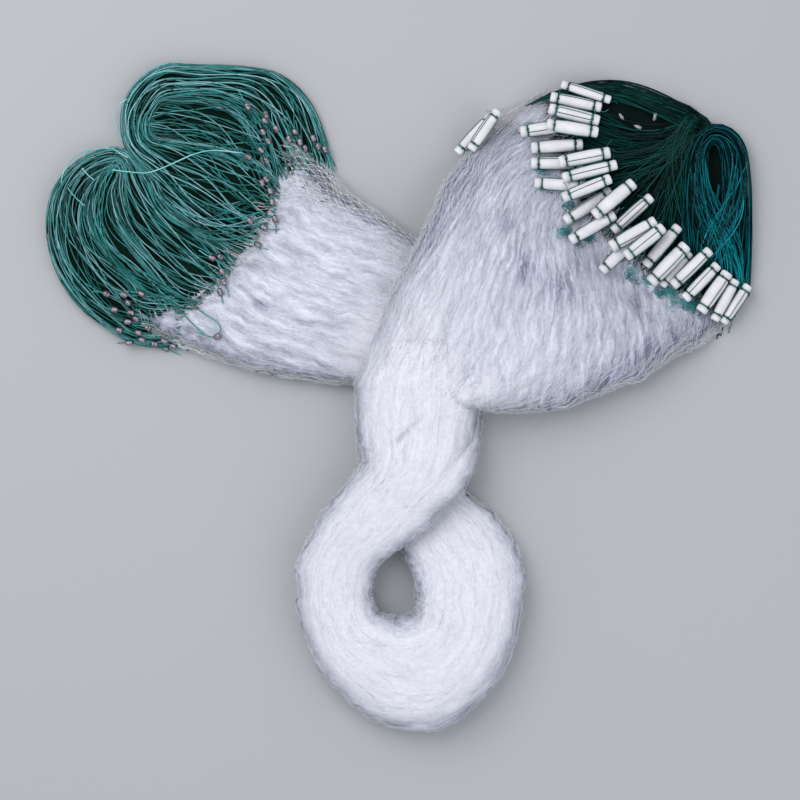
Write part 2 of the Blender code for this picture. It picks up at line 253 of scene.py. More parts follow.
def section_point(section, share, inset=0.0):
    """The places on the crown and on the underside at a share of the half width."""
    across, ahead = directions(section)
    tilt = (section.left - section.right) / 2
    sag = (section.left + section.right) / 2 - section.middle
    low = max(0.0, section.middle + share * tilt + share * share * sag)
    height = section.top - low
    crown = EDGE_HEIGHT + (1 - EDGE_HEIGHT) * math.sqrt(1 - abs(share) ** CROWN_POWER)
    rise = max(0.0, (abs(share) - FLAT_SHARE) / (1 - FLAT_SHARE)) ** 2
    place = Vector((section.x, section.y, 0.0)) + across * share * (section.half - inset)
    place += ahead * section.bow * (1 - share * share)
    over = place + UP * (low + height * crown - inset)
    under = place + UP * (low + height * EDGE_HEIGHT * rise + min(inset, BELLY_INSET))
    return over, under


print("the crown of the ring's lowest row is at", round(section_point(NETTING_ROWS[18], 0)[0].z), "mm")

# %% Heights
HANKS = ("netting", "lead_line", "float_line")
ABOVE_ALL = 300.0
# Netting that lies on a hank of line clears it by this much, in mm.
OVER_LINE = 2.8
surfaces = {}
for name in nodes:
    mesh = nodes[name].data
    corners = [vertex.co for vertex in mesh.vertices]
    surfaces[name] = BVHTree.FromPolygons(corners, [face.vertices for face in mesh.polygons])


def height_at(x, y, names=("netting", "lead_line")):
    """How high the solids of these names stand at a place, in mm."""
    high = 0.0
    for name in names:
        hit = surfaces[name].ray_cast(Vector((x, y, ABOVE_ALL)) * MM, -UP)[0]
        if hit:
            high = max(high, hit.z / MM)
    return high


def laid_over(point):
    """The point, lifted clear of a hank of line where one lies under it."""
    point.z = max(point.z, height_at(point.x, point.y, ("lead_line", "float_line")) + OVER_LINE)
    return point


print("the solid stands", round(height_at(16, -14)), "mm high at the neck")

# %% [markdown]
# ## A form to lay strands on
#
# A form is a grid of faces over the crown of a strand. It never shows. Its UV map, called lie, counts from
# 0 to 1 across the strand and from 0 to 1 along it, so a strand of fibre is a line at one place across. Two
# more values on each point say where the underside is and which way is left.

# %% Loose edges and the crease
# Loose edges swell in long lumps and stand out in short tufts: how long and how far out, in mm.
LUMP_SPAN = 30
LUMP_SIZE = 2.6
TUFT_SPAN = 14
OUTER_TUFT_SIZE = 9.0
INNER_TUFT_SIZE = 4.0


def lump_at(along, share):
    """How far a loose edge swells out at a place, in mm, to the side that it is on."""
    side = 7.0 if share > 0 else -7.0
    lump = noise.noise((along / LUMP_SPAN, side, 0.0))
    lump += 0.7 * noise.noise((along / LUMP_SPAN * 3, side, 4.0))
    tuft = abs(noise.noise((along / TUFT_SPAN, side, 8.0)))
    size = INNER_TUFT_SIZE if share > 0 else OUTER_TUFT_SIZE
    return lump * LUMP_SIZE * share**3 + tuft * size * share**5


# The one deep crease, across the neck.
CREASE_START = Vector((-11.0, -53.0))
CREASE_END = Vector((25.0, -19.0))
CREASE_DEPTH = 4.5
CREASE_WIDTH = 2.4


def crease_at(place):
    """How deep in the crease of the neck a place is, from 0 to 1."""
    line = CREASE_END - CREASE_START
    share = (place.xy - CREASE_START).dot(line) / line.length_squared
    if not 0 < share < 1:
        return 0.0
    away = (place.xy - CREASE_START - line * share).length / CREASE_WIDTH
    return math.exp(-away * away) * math.sin(math.pi * share)


print("the crease is", round((CREASE_END - CREASE_START).length), "mm long")

# %% Build a form
FORM_STEPS = 5
FORM_COLUMNS = 28


def store_at_points(mesh, label, values, kind="FLOAT"):
    """Stores a number or a vector at each point of a mesh."""
    attribute = mesh.attributes.new(label, kind, "POINT")
    field = "vector" if kind == "FLOAT_VECTOR" else "value"
    attribute.data.foreach_set(field, np.array(values, np.float32).ravel())


def form_of(name, sections, steps=FORM_STEPS, lumps=0.0):
    """A grid over the crown of a strand, its length, and how far along it each row of its table is.

    lumps says how much of the swelling of loose edges it gets.
    """
    run = smoothed(sections, steps)
    along = [0.0]
    for near, far in zip(run, run[1:]):
        along.append(along[-1] + math.dist(near[:2], far[:2]))
    points, below, left = [], [], []
    for section, at in zip(run, along):
        across = directions(section)[0]
        for k in range(FORM_COLUMNS + 1):
            share = math.cos(math.pi * k / FORM_COLUMNS)
            over, under = section_point(section, share)
            if lumps:
                over = laid_over(over)
                over += across * lump_at(at, share) * lumps
                over.z -= crease_at(over) * CREASE_DEPTH
            points.append(over * MM)
            below.append((under - over) * MM)
            left.append(across)
    width = FORM_COLUMNS + 1
    faces = []
    for i in range(len(run) - 1):
        for k in range(FORM_COLUMNS):
            a = i * width + k
            faces.append((a, a + 1, a + width + 1, a + width))
    mesh = bpy.data.meshes.new(name)
    mesh.from_pydata(points, [], faces)
    lie = mesh.uv_layers.new(name="lie")
    for loop in mesh.loops:
        row, column = divmod(loop.vertex_index, width)
        lie.data[loop.index].uv = (column / FORM_COLUMNS, along[row] / along[-1])
    store_at_points(mesh, "below", below, "FLOAT_VECTOR")
    store_at_points(mesh, "left", left, "FLOAT_VECTOR")
    shares = [at / along[-1] for at in along[::steps]]
    return mesh, along[-1], shares


print("points across a form:", FORM_COLUMNS + 1)

# %% The netting's form
# The ring's inner turns are slack and hang into its eye: how far, in mm, at each of these rows.
INNER_SLACK = {19: 4, 20: 10, 21: 13, 22: 12, 23: 8}


def with_slack(sections):
    """The sections with their inner edges moved out by the slack."""
    rows = list(sections)
    for i, slack in INNER_SLACK.items():
        row = rows[i]
        across = directions(row)[0] * slack / 2
        rows[i] = row._replace(x=row.x + across.x, y=row.y + across.y, half=row.half + slack / 2)
    return tuple(rows)


NETTING = with_slack(NETTING_ROWS)
netting_form, netting_length, netting_shares = form_of("netting_form", NETTING, lumps=1.0)
print("the gathered netting is", round(netting_length), "mm long")

# %% [markdown]
# ## One tree of nodes lays all the strands
#
# Netting fibres, lead line and float line are all the same thing to a net maker: hundreds of long strands
# that follow a hank, wander a little, bunch together and cross. So one Geometry Nodes tree makes them all.
# It copies a line many times, finds each point's place on the form by its UV map, sinks it to its own
# depth, adds the wander and the crimp that knots leave in the mesh, and gives it a round section.

# %% A short way to write nodes
class Tree:
    """Adds and joins the nodes of one tree."""

    def __init__(self, tree):
        self.tree = tree

    def node(self, kind, inputs=(), **settings):
        """A new node, with values or sockets for its inputs, and with its settings."""
        node = self.tree.nodes.new(kind)
        for name, value in settings.items():
            setattr(node, name, value)
        for name, value in dict(inputs).items():
            self.feed(node.inputs[name], value)
        return node

    def feed(self, socket, value):
        """Gives a socket a value, or joins it to another node's socket."""
        if isinstance(value, bpy.types.NodeSocket):
            self.tree.links.new(value, socket)
        else:
            socket.default_value = value

    def named_inputs(self):
        """The sockets of the tree's inputs."""
        return self.node("NodeGroupInput").outputs

    def end(self, value):
        """Ends the tree with the value of its output."""
        self.feed(self.node("NodeGroupOutput").inputs[0], value)

    def math(self, operation, *values):
        """One step of arithmetic."""
        node = self.node("ShaderNodeMath", operation=operation)
        for socket, value in zip(node.inputs, values):
            self.feed(socket, value)
        return node.outputs[0]

    def vector(self, operation, *values):
        """Vector maths. For SCALE the second value is a number."""
        node = self.node("ShaderNodeVectorMath", operation=operation)
        sockets = list(node.inputs)
        if operation == "SCALE":
            sockets = [sockets[0], node.inputs["Scale"]]
        for socket, value in zip(sockets, values):
            self.feed(socket, value)
        return node.outputs[0]

    def within(self, value, low, high):
        """The value, kept between low and high."""
        return self.math("MINIMUM", self.math("MAXIMUM", value, low), high)

    def place(self, x=0.0, y=0.0, z=0.0):
        """A vector from three numbers."""
        return self.node("ShaderNodeCombineXYZ", {"X": x, "Y": y, "Z": z}).outputs[0]

    def noise(self, vector, scale=1.0, detail=1.0):
        """A node of smooth noise, read at a place."""
        inputs = {"Vector": vector, "Scale": scale, "Detail": detail}
        return self.node("ShaderNodeTexNoise", inputs)

    def read(self, label, kind="FLOAT"):
        """A stored value of the geometry."""
        return self.node("GeometryNodeInputNamedAttribute", {"Name": label}, data_type=kind).outputs[0]

    def store(self, geometry, label, value, kind="FLOAT", domain="POINT"):
        """The geometry with a value stored on it."""
        inputs = {"Geometry": geometry, "Name": label}
        node = self.node("GeometryNodeStoreNamedAttribute", inputs, data_type=kind, domain=domain)
        self.feed(node.inputs["Value"], value)
        return node.outputs[0]

    def own_place(self):
        """Where a point of a finish is on its own piece."""
        return self.node("ShaderNodeTexCoord").outputs["Object"]

    def stored(self, label, output="Fac"):
        """A stored value of the piece, for its finish."""
        return self.node("ShaderNodeAttribute", attribute_name=label).outputs[output]

    def swing(self, vector, amount, detail=0.0):
        """Smooth noise from about minus amount to amount."""
        value = self.noise(vector, detail=detail).outputs["Fac"]
        return self.math("MULTIPLY", self.math("SUBTRACT", value, 0.5), self.math("MULTIPLY", amount, 3.0))


print("a tree is written with:", [name for name in vars(Tree) if not name.startswith("_")])


# %% Named inputs
def new_tree(name, kind, rows, output, output_kind):
    """A tree with named inputs, which have starting values, and one output."""
    tree = bpy.data.node_groups.new(name, kind)
    for label, socket_kind, value in rows:
        socket = tree.interface.new_socket(label, in_out="INPUT", socket_type="NodeSocket" + socket_kind)
        if value is not None:
            socket.default_value = value
    tree.interface.new_socket(output, in_out="OUTPUT", socket_type="NodeSocket" + output_kind)
    return tree


def set_input(modifier, label, value):
    """Sets a modifier's input by the identifier of its socket."""
    for item in modifier.node_group.interface.items_tree:
        if item.item_type == "SOCKET" and item.in_out == "INPUT" and item.name == label:
            modifier[item.identifier] = value
            return
    raise KeyError(label)


# %% Round tubes with a map of their own
# The share of its row of the map that each tube takes, so that none takes another's colour.
ROW_SHARE = 0.8


def end_in_tubes(t, curves, radius, scale, rows, given):
    """Gives curves a round section, lays each out in a row of its own, and ends the tree.

    Each curve's points carry row, its number, and run, how far along it they are.
    """
    ring = t.node("GeometryNodeCurvePrimitiveCircle", {"Resolution": given["Sides"], "Radius": radius})
    round_at = t.node("GeometryNodeSplineParameter").outputs["Factor"]
    ring = t.store(ring.outputs["Curve"], "round", round_at)
    inputs = {"Curve": curves, "Profile Curve": ring, "Scale": scale, "Fill Caps": True}
    tubes = t.node("GeometryNodeCurveToMesh", inputs).outputs["Mesh"]
    in_row = t.math("MULTIPLY_ADD", t.read("round"), ROW_SHARE, 0.1)
    map_place = t.place(t.read("run"), t.math("DIVIDE", t.math("ADD", t.read("row"), in_row), rows))
    tubes = t.store(tubes, "OFBake", map_place, "FLOAT2", "CORNER")
    tubes = t.node("GeometryNodeRealizeInstances", {"Geometry": tubes}).outputs[0]
    inputs = {"Geometry": tubes, "Material": given["Material"]}
    t.end(t.node("GeometryNodeSetMaterial", inputs).outputs[0])


# %% The inputs of the tree for strands
STRAND_INPUTS = (
    ("Geometry", "Geometry", None),
    ("Strands", "Int", 100),
    ("Points", "Int", 60),
    ("Sides", "Int", 3),
    ("Thickness", "Float", 0.5),
    ("Start", "Float", 0.0),
    ("End", "Float", 1.0),
    ("Stagger", "Float", 0.0),
    ("Short", "Float", 0.0),
    ("Slant", "Float", 0.0),
    ("Skew", "Float", 0.0),
    ("Left", "Float", 0.0),
    ("Right", "Float", 1.0),
    ("Depth", "Float", 0.2),
    ("Length", "Float", 1000.0),
    ("Wander", "Float", 0.02),
    ("Wander Span", "Float", 120.0),
    ("Bunch", "Float", 0.02),
    ("Bunch Span", "Float", 60.0),
    ("Furrow", "Float", 0.0),
    ("Mesh", "Float", 0.0),
    ("Fluff", "Float", 0.0),
    ("Fluff Span", "Float", 9.0),
    ("Lift", "Float", 0.0),
    ("Seed", "Int", 1),
    ("Material", "Material", None),
)
print("inputs of the tree for strands:", len(STRAND_INPUTS))


# %% A line for each strand
class StrandTree(Tree):
    """A tree that starts with one line for each strand, all of them in pairs."""

    def __init__(self, tree):
        super().__init__(tree)
        self.given = self.named_inputs()
        line = self.node("GeometryNodeCurvePrimitiveLine", {"End": (1.0, 0.0, 0.0)}).outputs["Curve"]
        inputs = {"Curve": line, "Count": self.given["Points"]}
        line = self.node("GeometryNodeResampleCurve", inputs).outputs["Curve"]
        inputs = {"Geometry": line, "Amount": self.given["Strands"]}
        copies = self.node("GeometryNodeDuplicateElements", inputs, domain="SPLINE")
        self.strands = copies.outputs["Geometry"]
        self.index = copies.outputs["Duplicate Index"]
        self.pair = self.math("FLOOR", self.math("DIVIDE", self.index, 2.0))
        # Each pair reads its noise at a place of its own.
        self.own = self.math("MULTIPLY", self.pair, 3.71)
        spline = self.node("GeometryNodeSplineParameter").outputs
        self.factor = spline["Factor"]
        self.point = spline["Index"]

    def chance(self, k, low=0.0, high=1.0):
        """A value of its own for each pair of strands."""
        inputs = {"ID": self.pair, "Seed": self.math("ADD", self.given["Seed"], k)}
        node = self.node("FunctionNodeRandomValue", inputs)
        self.feed(node.inputs[2], low)
        self.feed(node.inputs[3], high)
        return node.outputs[1]

    def on_form(self, value, at):
        """A value of the form at each strand's place on it."""
        lie = self.read("lie", "FLOAT_VECTOR")
        inputs = {"Mesh": self.given["Geometry"], "Value": value, "UV Map": lie, "Sample UV": at}
        return self.node("GeometryNodeSampleUVSurface", inputs, data_type="FLOAT_VECTOR").outputs[0]


print("a strand's tree has its own:", [name for name in vars(StrandTree) if not name.startswith("_")])


# %% Where a strand runs
# About how many bunches of strands, and how many furrows, there are across a form.
BUNCHES = 22.0
FURROWS = 26.0
# A form's edge starts at the first of these shares of its half width, and is full at the second.
EDGE_FROM = 0.84
EDGE_TO = 0.97


def along_form(t):
    """How far along the form each point is. Short strands end soon after they start."""
    start = t.math("MULTIPLY_ADD", t.chance(1), t.given["Stagger"], t.given["Start"])
    end = t.math("SUBTRACT", t.given["End"], t.math("MULTIPLY", t.chance(2), t.given["Stagger"]))
    is_short = t.math("GREATER_THAN", t.given["Short"], 0.0)
    to_short_end = t.math("SUBTRACT", t.math("ADD", start, t.given["Short"]), end)
    end = t.math("MULTIPLY_ADD", is_short, to_short_end, end)
    along = t.math("MULTIPLY_ADD", t.factor, t.math("SUBTRACT", end, start), start)
    return t.within(along, 0.001, 0.999)


def across_form(t, run):
    """How far across the form each point is."""
    width = t.math("SUBTRACT", t.given["Right"], t.given["Left"])
    row = t.math("DIVIDE", t.math("ADD", t.pair, t.chance(3)), t.math("DIVIDE", t.given["Strands"], 2.0))
    across = t.math("MULTIPLY_ADD", row, width, t.given["Left"])
    from_middle = t.math("SUBTRACT", t.factor, 0.5)
    lean = t.math("MULTIPLY", from_middle, t.chance(10, -1.0, 1.0))
    across = t.math("MULTIPLY_ADD", lean, t.given["Slant"], across)
    # Skew drifts the strands to the left as they run on, and less so the nearer they are to the left edge.
    inner = t.math("MINIMUM", across, 0.5)
    inner = t.math("MULTIPLY", inner, t.math("SUBTRACT", 1.0, inner))
    drift = t.math("MULTIPLY", t.math("MULTIPLY", from_middle, t.given["Skew"]), inner)
    across = t.math("MINIMUM", t.math("MULTIPLY_ADD", drift, -4.0, across), 1.03)
    wander_at = t.place(t.math("DIVIDE", run, t.given["Wander Span"]), t.own, t.given["Seed"])
    bunch = t.math("MULTIPLY", across, BUNCHES)
    bunch_at = t.place(t.math("DIVIDE", run, t.given["Bunch Span"]), bunch, t.given["Seed"])
    across = t.math("ADD", across, t.swing(wander_at, t.given["Wander"]))
    across = t.math("ADD", across, t.swing(bunch_at, t.given["Bunch"]))
    return t.within(t.math("PINGPONG", across, 1.0), 0.002, 0.998)


def edge_of_form(t, across):
    """How near the edge of the form each point is: 1 at the edge and 0 over most of the form."""
    side = t.math("ABSOLUTE", t.math("MULTIPLY_ADD", across, 2.0, -1.0))
    inputs = {"Value": side, "From Min": EDGE_FROM, "From Max": EDGE_TO}
    return t.node("ShaderNodeMapRange", inputs, interpolation_type="SMOOTHSTEP").outputs["Result"]


def depth_in_form(t, edge):
    """How deep each strand lies: shallow on top, and anywhere down to the floor at the edges."""
    shallow = t.math("MULTIPLY", t.math("POWER", t.chance(4), 2.0), t.given["Depth"])
    return t.math("MAXIMUM", shallow, t.math("MULTIPLY", edge, t.chance(5, 0.0, 0.97)))


print("about", round(FURROWS), "furrows across a form")


# %% How a strand strays
OPENING_SPAN = 17.0
MEAN_OPENING = 0.8
OPENING_SWING = 0.7


def furrow_rise(t, run, across, edge):
    """How high each point stands over the form in its furrows. There are none at the edges."""
    furrow = t.math("MULTIPLY", across, FURROWS)
    furrow_at = t.place(t.math("DIVIDE", run, t.given["Bunch Span"]), furrow, 5.0)
    furrow = t.swing(furrow_at, t.math("MULTIPLY", t.given["Furrow"], MM), detail=2.0)
    rise = t.math("ADD", furrow, t.math("MULTIPLY", t.given["Lift"], MM))
    return t.place(z=t.math("MULTIPLY", rise, t.math("SUBTRACT", 1.0, edge)))


def mesh_sway(t, run, left):
    """How far each point stands aside. A pair of strands meets at every second point, where the knot is."""
    sign = t.math("MULTIPLY_ADD", t.math("MODULO", t.index, 2.0), 2.0, -1.0)
    apart = t.math("MULTIPLY", t.math("MODULO", t.point, 2.0), sign)
    open_at = t.place(t.math("DIVIDE", run, OPENING_SPAN), t.own, 2.0)
    opening = t.math("ADD", t.swing(open_at, OPENING_SWING), MEAN_OPENING)
    sway = t.math("MULTIPLY", t.math("MULTIPLY", apart, opening), t.math("MULTIPLY", t.given["Mesh"], MM))
    roll = t.chance(8, -1.2, 1.2)
    sideways = t.vector("SCALE", left, t.math("MULTIPLY", sway, t.math("COSINE", roll)))
    upward = t.place(z=t.math("MULTIPLY", sway, t.math("SINE", roll)))
    return t.vector("ADD", sideways, upward)


def crimp(t, run):
    """How far each point strays. Most strands are a little crimped, and a few stray far out."""
    crimp_at = t.place(t.math("DIVIDE", run, t.given["Fluff Span"]), t.own, 9.0)
    aside = t.vector("SUBTRACT", t.noise(crimp_at).outputs["Color"], (0.5, 0.5, 0.5))
    stray = t.math("MULTIPLY_ADD", t.math("POWER", t.chance(9), 5.0), 1.2, 0.8)
    amount = t.math("MULTIPLY", t.math("MULTIPLY", t.given["Fluff"], 3 * MM), stray)
    return t.vector("SCALE", aside, amount)


print("a mesh opens and shuts again over about", round(OPENING_SPAN), "mm")


# %% The tree for strands
def strand_tree():
    """Strands over a form. Lengths are in millimetres, and places across and along go from 0 to 1."""
    tree = new_tree("strands_over_a_form", "GeometryNodeTree", STRAND_INPUTS, "Geometry", "Geometry")
    t = StrandTree(tree)
    along = along_form(t)
    run = t.math("MULTIPLY", along, t.given["Length"])
    across = across_form(t, run)
    edge = edge_of_form(t, across)
    at = t.place(across, along)
    place = t.on_form(t.node("GeometryNodeInputPosition").outputs[0], at)
    below = t.on_form(t.read("below", "FLOAT_VECTOR"), at)
    left = t.on_form(t.read("left", "FLOAT_VECTOR"), at)
    place = t.vector("ADD", place, t.vector("SCALE", below, depth_in_form(t, edge)))
    place = t.vector("ADD", place, furrow_rise(t, run, across, edge))
    place = t.vector("ADD", place, mesh_sway(t, run, left))
    place = t.vector("ADD", place, crimp(t, run))
    radius = t.math("MULTIPLY", t.given["Thickness"], MM / 2)
    # Nothing goes through the floor.
    place = t.vector("MAXIMUM", place, t.place(-9.0, -9.0, radius))
    strands = t.node("GeometryNodeSetPosition", {"Geometry": t.strands, "Position": place}).outputs[0]
    for label, value in (("shade", t.chance(6)), ("row", t.index), ("run", t.factor)):
        strands = t.store(strands, label, value)
    end_in_tubes(t, strands, radius, t.chance(7, 0.8, 1.2), t.given["Strands"], t.given)
    return tree


strands_over_a_form = strand_tree()
print("nodes in the tree for strands:", len(strands_over_a_form.nodes))

# %% Run a tree and keep its mesh
piece_count = {}


def add_piece(name, mesh, material=None):
    """Puts a finished mesh in the scene, riding on the part's body. A mesh from a tree has its material."""
    if material:
        mesh.materials.append(material)
    piece = bpy.data.objects.new(name, mesh)
    bpy.context.scene.collection.objects.link(piece)
    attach(piece, BODY)
    mesh.calc_loop_triangles()
    piece_count[name] = len(mesh.loop_triangles)
    print(name, "has", piece_count[name], "triangles")
    return piece


def run_tree(name, mesh, tree, slot, **inputs):
    """Lays a tree over a mesh, and keeps the result as a plain mesh. In an input's name, _ is a space."""
    carrier = bpy.data.objects.new(name + "_carrier", mesh)
    bpy.context.scene.collection.objects.link(carrier)
    modifier = carrier.modifiers.new("nodes", "NODES")
    modifier.node_group = tree
    for label, value in inputs.items():
        set_input(modifier, label.replace("_", " "), value)
    depsgraph = bpy.context.evaluated_depsgraph_get()
    evaluated = carrier.evaluated_get(depsgraph)
    made = bpy.data.meshes.new_from_object(evaluated, preserve_all_data_layers=True, depsgraph=depsgraph)
    made.name = name
    bpy.data.objects.remove(carrier)
    for label in ("row", "run", "round", "across", "resolution"):
        if label in made.attributes:
            made.attributes.remove(made.attributes[label])
    made.shade_smooth()
    return add_piece(name, made)


# %% The tree for single lines
def line_tree():
    """A round line along every run of edges, as thick as its points say, in millimetres."""
    rows = (
        ("Geometry", "Geometry", None),
        ("Lines", "Int", 1),
        ("Sides", "Int", 3),
        ("Material", "Material", None),
    )
    t = Tree(new_tree("lines_along_edges", "GeometryNodeTree", rows, "Geometry", "Geometry"))
    given = t.named_inputs()
    curves = t.node("GeometryNodeMeshToCurve", {"Mesh": given["Geometry"]}).outputs["Curve"]
    end_in_tubes(t, curves, MM / 2, t.read("across"), given["Lines"], given)
    return t.tree


lines_along_edges = line_tree()
Line = namedtuple("Line", "points across shade")


def lay_lines(name, lines, slot, material, sides=3):
    """A round line along each row of points, all as one piece."""
    points, edges = [], []
    values = {"across": [], "shade": [], "row": [], "run": []}
    for i, line in enumerate(lines):
        first = len(points)
        last = len(line.points) - 1
        for k, point in enumerate(line.points):
            points.append(Vector(point) * MM)
            values["across"].append(line.across)
            values["shade"].append(line.shade)
            values["row"].append(i)
            values["run"].append(k / last)
        edges += [(first + k, first + k + 1) for k in range(last)]
    mesh = bpy.data.meshes.new(name + "_edges")
    mesh.from_pydata(points, edges, [])
    for label, column in values.items():
        store_at_points(mesh, label, column)
    inputs = {"Lines": len(lines), "Sides": sides, "Material": material}
    return run_tree(name, mesh, lines_along_edges, slot, **inputs)


# %% Knots, short ends and bends
rng = random.Random(5)
KNOT_POINTS = 13
KNOT_STEP = 1.85


def level_stray(reach):
    """A random level step of up to reach to each side."""
    return Vector((rng.uniform(-reach, reach), rng.uniform(-reach, reach), 0.0))


def tangle(centre, size):
    """Points of a small hard knot."""
    points = []
    first = rng.uniform(0, 6)
    for k in range(KNOT_POINTS):
        angle = first + k * KNOT_STEP
        away = Vector((math.cos(angle), math.sin(1.31 * angle), 0.6 * math.sin(0.77 * angle)))
        points.append(centre + away * size)
    return points


def tail(start, direction, length, points=9, curl=0.5, over=0.8):
    """A short end that curls away from its start and lies down on what is below it."""
    result = [start.copy()]
    heading = direction.normalized()
    step = length / points
    for _ in range(points):
        heading = (heading + level_stray(curl)).normalized()
        place = result[-1] + heading * step
        place.z = max(height_at(place.x, place.y, HANKS) + over, place.z - 0.8 * step)
        result.append(place)
    return result


def bend(start, leave, end, arrive, count, steepness=0.42):
    """Points on a smooth bend that leaves its start one way and arrives at its end another way."""
    reach = (end - start).length * steepness
    return interpolate_bezier(start, start + leave * reach, end - arrive * reach, end, count)


print("points of a knot:", KNOT_POINTS)

# %% [markdown]
# ## Finishes
#
# Clear nylon has almost no colour of its own: a single fibre is glassy, so it is given an alpha, and a
# thick mass of them is white with a cool lavender tint in its depth. The lines are dyed green, and the pale
# strands laid on top of the lead line are a painted highlight. Two small effects are shared: a soft cloud
# of light and dark over the whole net, and a tint of its own for each strand, which the strand tree has
# stored as shade.

# %% Shared effects
def cloud_group():
    """A soft mask over the net, from its own coordinates."""
    rows = (("Span", "Float", 60.0), ("Contrast", "Float", 1.0))
    t = Tree(new_tree("cloud", "ShaderNodeTree", rows, "Mask", "Float"))
    given = t.named_inputs()
    own = t.own_place()
    scale = t.math("DIVIDE", 1 / MM, given["Span"])
    value = t.noise(own, scale, 3.0).outputs["Fac"]
    value = t.math("MULTIPLY_ADD", t.math("SUBTRACT", value, 0.5), given["Contrast"], 0.5)
    t.end(t.within(value, 0.0, 1.0))
    return t.tree


def mixed(t, share, first, second):
    """Two colours mixed. Each is a colour or another node's socket."""
    mix = t.node("ShaderNodeMix", {"Factor": share}, data_type="RGBA")
    for socket, colour in ((mix.inputs[6], first), (mix.inputs[7], second)):
        t.feed(socket, colour if isinstance(colour, bpy.types.NodeSocket) else (*colour, 1.0))
    return mix.outputs[2]


def strand_tint_group():
    """Two colours mixed by each strand's own shade and by a cloud."""
    rows = (
        ("Dark", "Color", (0.1, 0.1, 0.1, 1.0)),
        ("Pale", "Color", (0.8, 0.8, 0.8, 1.0)),
        ("Power", "Float", 1.0),
        ("Cloud", "Float", 0.4),
        ("Span", "Float", 60.0),
    )
    t = Tree(new_tree("strand_tint", "ShaderNodeTree", rows, "Colour", "Color"))
    given = t.named_inputs()
    shade = t.stored("shade")
    shade = t.math("POWER", shade, given["Power"])
    inputs = {"Span": given["Span"], "Contrast": 2.4}
    cloud = t.node("ShaderNodeGroup", inputs, node_tree=cloud_mask)
    drift = t.math("MULTIPLY", t.math("SUBTRACT", cloud.outputs["Mask"], 0.5), given["Cloud"])
    share = t.within(t.math("ADD", shade, drift), 0.0, 1.0)
    t.end(mixed(t, share, given["Dark"], given["Pale"]))
    return t.tree


cloud_mask = cloud_group()
strand_tint = strand_tint_group()
print("shared effects:", cloud_mask.name, strand_tint.name)

# %% A finish for strands
def shader_of(name, roughness, specular=0.5, metallic=0.0):
    """A material, its tree and its Principled shader with plain values set on the shader."""
    material = bpy.data.materials.new(name)
    material.use_nodes = True
    shader = material.node_tree.nodes["Principled BSDF"]
    shader.inputs["Roughness"].default_value = roughness
    shader.inputs["Specular IOR Level"].default_value = specular
    shader.inputs["Metallic"].default_value = metallic
    return material, Tree(material.node_tree), shader


def tinted(t, dark, pale, power, cloud, span):
    """The colour of a strand tint with these values."""
    values = {"Dark": (*dark, 1.0), "Pale": (*pale, 1.0), "Power": power, "Cloud": cloud, "Span": span}
    return t.node("ShaderNodeGroup", values, node_tree=strand_tint).outputs["Colour"]


def strand_material(name, dark, pale, roughness, power=1.0, cloud=0.4, span=60.0, specular=0.5, alpha=1.0):
    """A finish for strands: two colours and a gloss. An alpha under 1 makes it sheer."""
    material, t, shader = shader_of(name, roughness, specular)
    shader.inputs["Alpha"].default_value = alpha
    t.feed(shader.inputs["Base Color"], tinted(t, dark, pale, power, cloud, span))
    return material


tint_inputs = [item.name for item in strand_tint.interface.items_tree if item.in_out == "INPUT"]
print("a strand's tint takes:", tint_inputs)

# %% Materials of nylon and line
nylon = strand_material(
    "clear_nylon", (0.76, 0.78, 0.88), (0.95, 0.96, 0.99), 0.45, power=0.6, cloud=0.6, span=70, alpha=0.3
)
soft_nylon = strand_material(
    "soft_nylon", (0.86, 0.87, 0.93), (0.97, 0.98, 1.0), 0.5, power=0.6, cloud=0.5, span=70, alpha=0.18
)
loose_nylon = strand_material(
    "loose_nylon", (0.80, 0.82, 0.91), (0.96, 0.97, 1.0), 0.35, power=0.6, cloud=0.5, span=20, alpha=0.6
)
lead_cord = strand_material(
    "green_lead_line", (0.001, 0.088, 0.072), (0.09, 0.62, 0.61), 0.3, power=1.4, cloud=0.7, span=30
)
# Pale strands for the top of the lead line: a painted highlight.
highlit_cord = strand_material(
    "lead_line_in_painted_highlight", (0.12, 0.55, 0.55), (0.55, 0.90, 0.96), 0.25, power=1.0, cloud=0.9, span=24
)
float_cord = strand_material(
    "dark_green_float_line",
    (0.0004, 0.013, 0.012),
    (0.001, 0.088, 0.073),
    0.4,
    power=1.8,
    cloud=0.5,
    specular=0.12,
)
blue_cord = strand_material(
    "blue_green_float_line",
    (0.0004, 0.030, 0.037),
    (0.003, 0.42, 0.50),
    0.35,
    power=1.7,
    cloud=0.5,
    specular=0.15,
)
twine_green = strand_material(
    "green_twine", (0.003, 0.06, 0.05), (0.05, 0.40, 0.34), 0.5, power=1.5, specular=0.3
)
loose_twine = strand_material(
    "loose_twine", (0.004, 0.07, 0.08), (0.08, 0.44, 0.47), 0.4, power=1.2, cloud=0.6, span=20, specular=0.4
)
print("strand finishes:", [m.name for m in (nylon, lead_cord, float_cord, blue_cord, twine_green)])

# %% [markdown]
# ## The depth of the netting
#
# Far more fibre lies inside a gathered net than anyone could draw. A closed form just under the surface
# stands for that depth, with the long furrows that gathered mesh falls into. Its finish is white where the
# netting is thick, with painted light and shade along its streaks and folds, and a soft grey of painted
# shade at the rims, in the crease and in thin places, and it fades only at the thin loose edges, where
# single fibres show. Where the arms grow together at the neck, one more form closes the step between them.

# %% Furrows and loose edges
FURROW_SPAN = 24
FURROW_WIDTH = 4.6
# The share of the half width at an edge that may fade.
LOOSE = 0.12
# How much fades at an edge. None does where the crown is higher than SOLID_ABOVE, in mm, and all of it does
# where the crown is lower than that by FADE_HEIGHT.
EDGE_FADE = 0.8
SOLID_ABOVE = 50
FADE_HEIGHT = 15


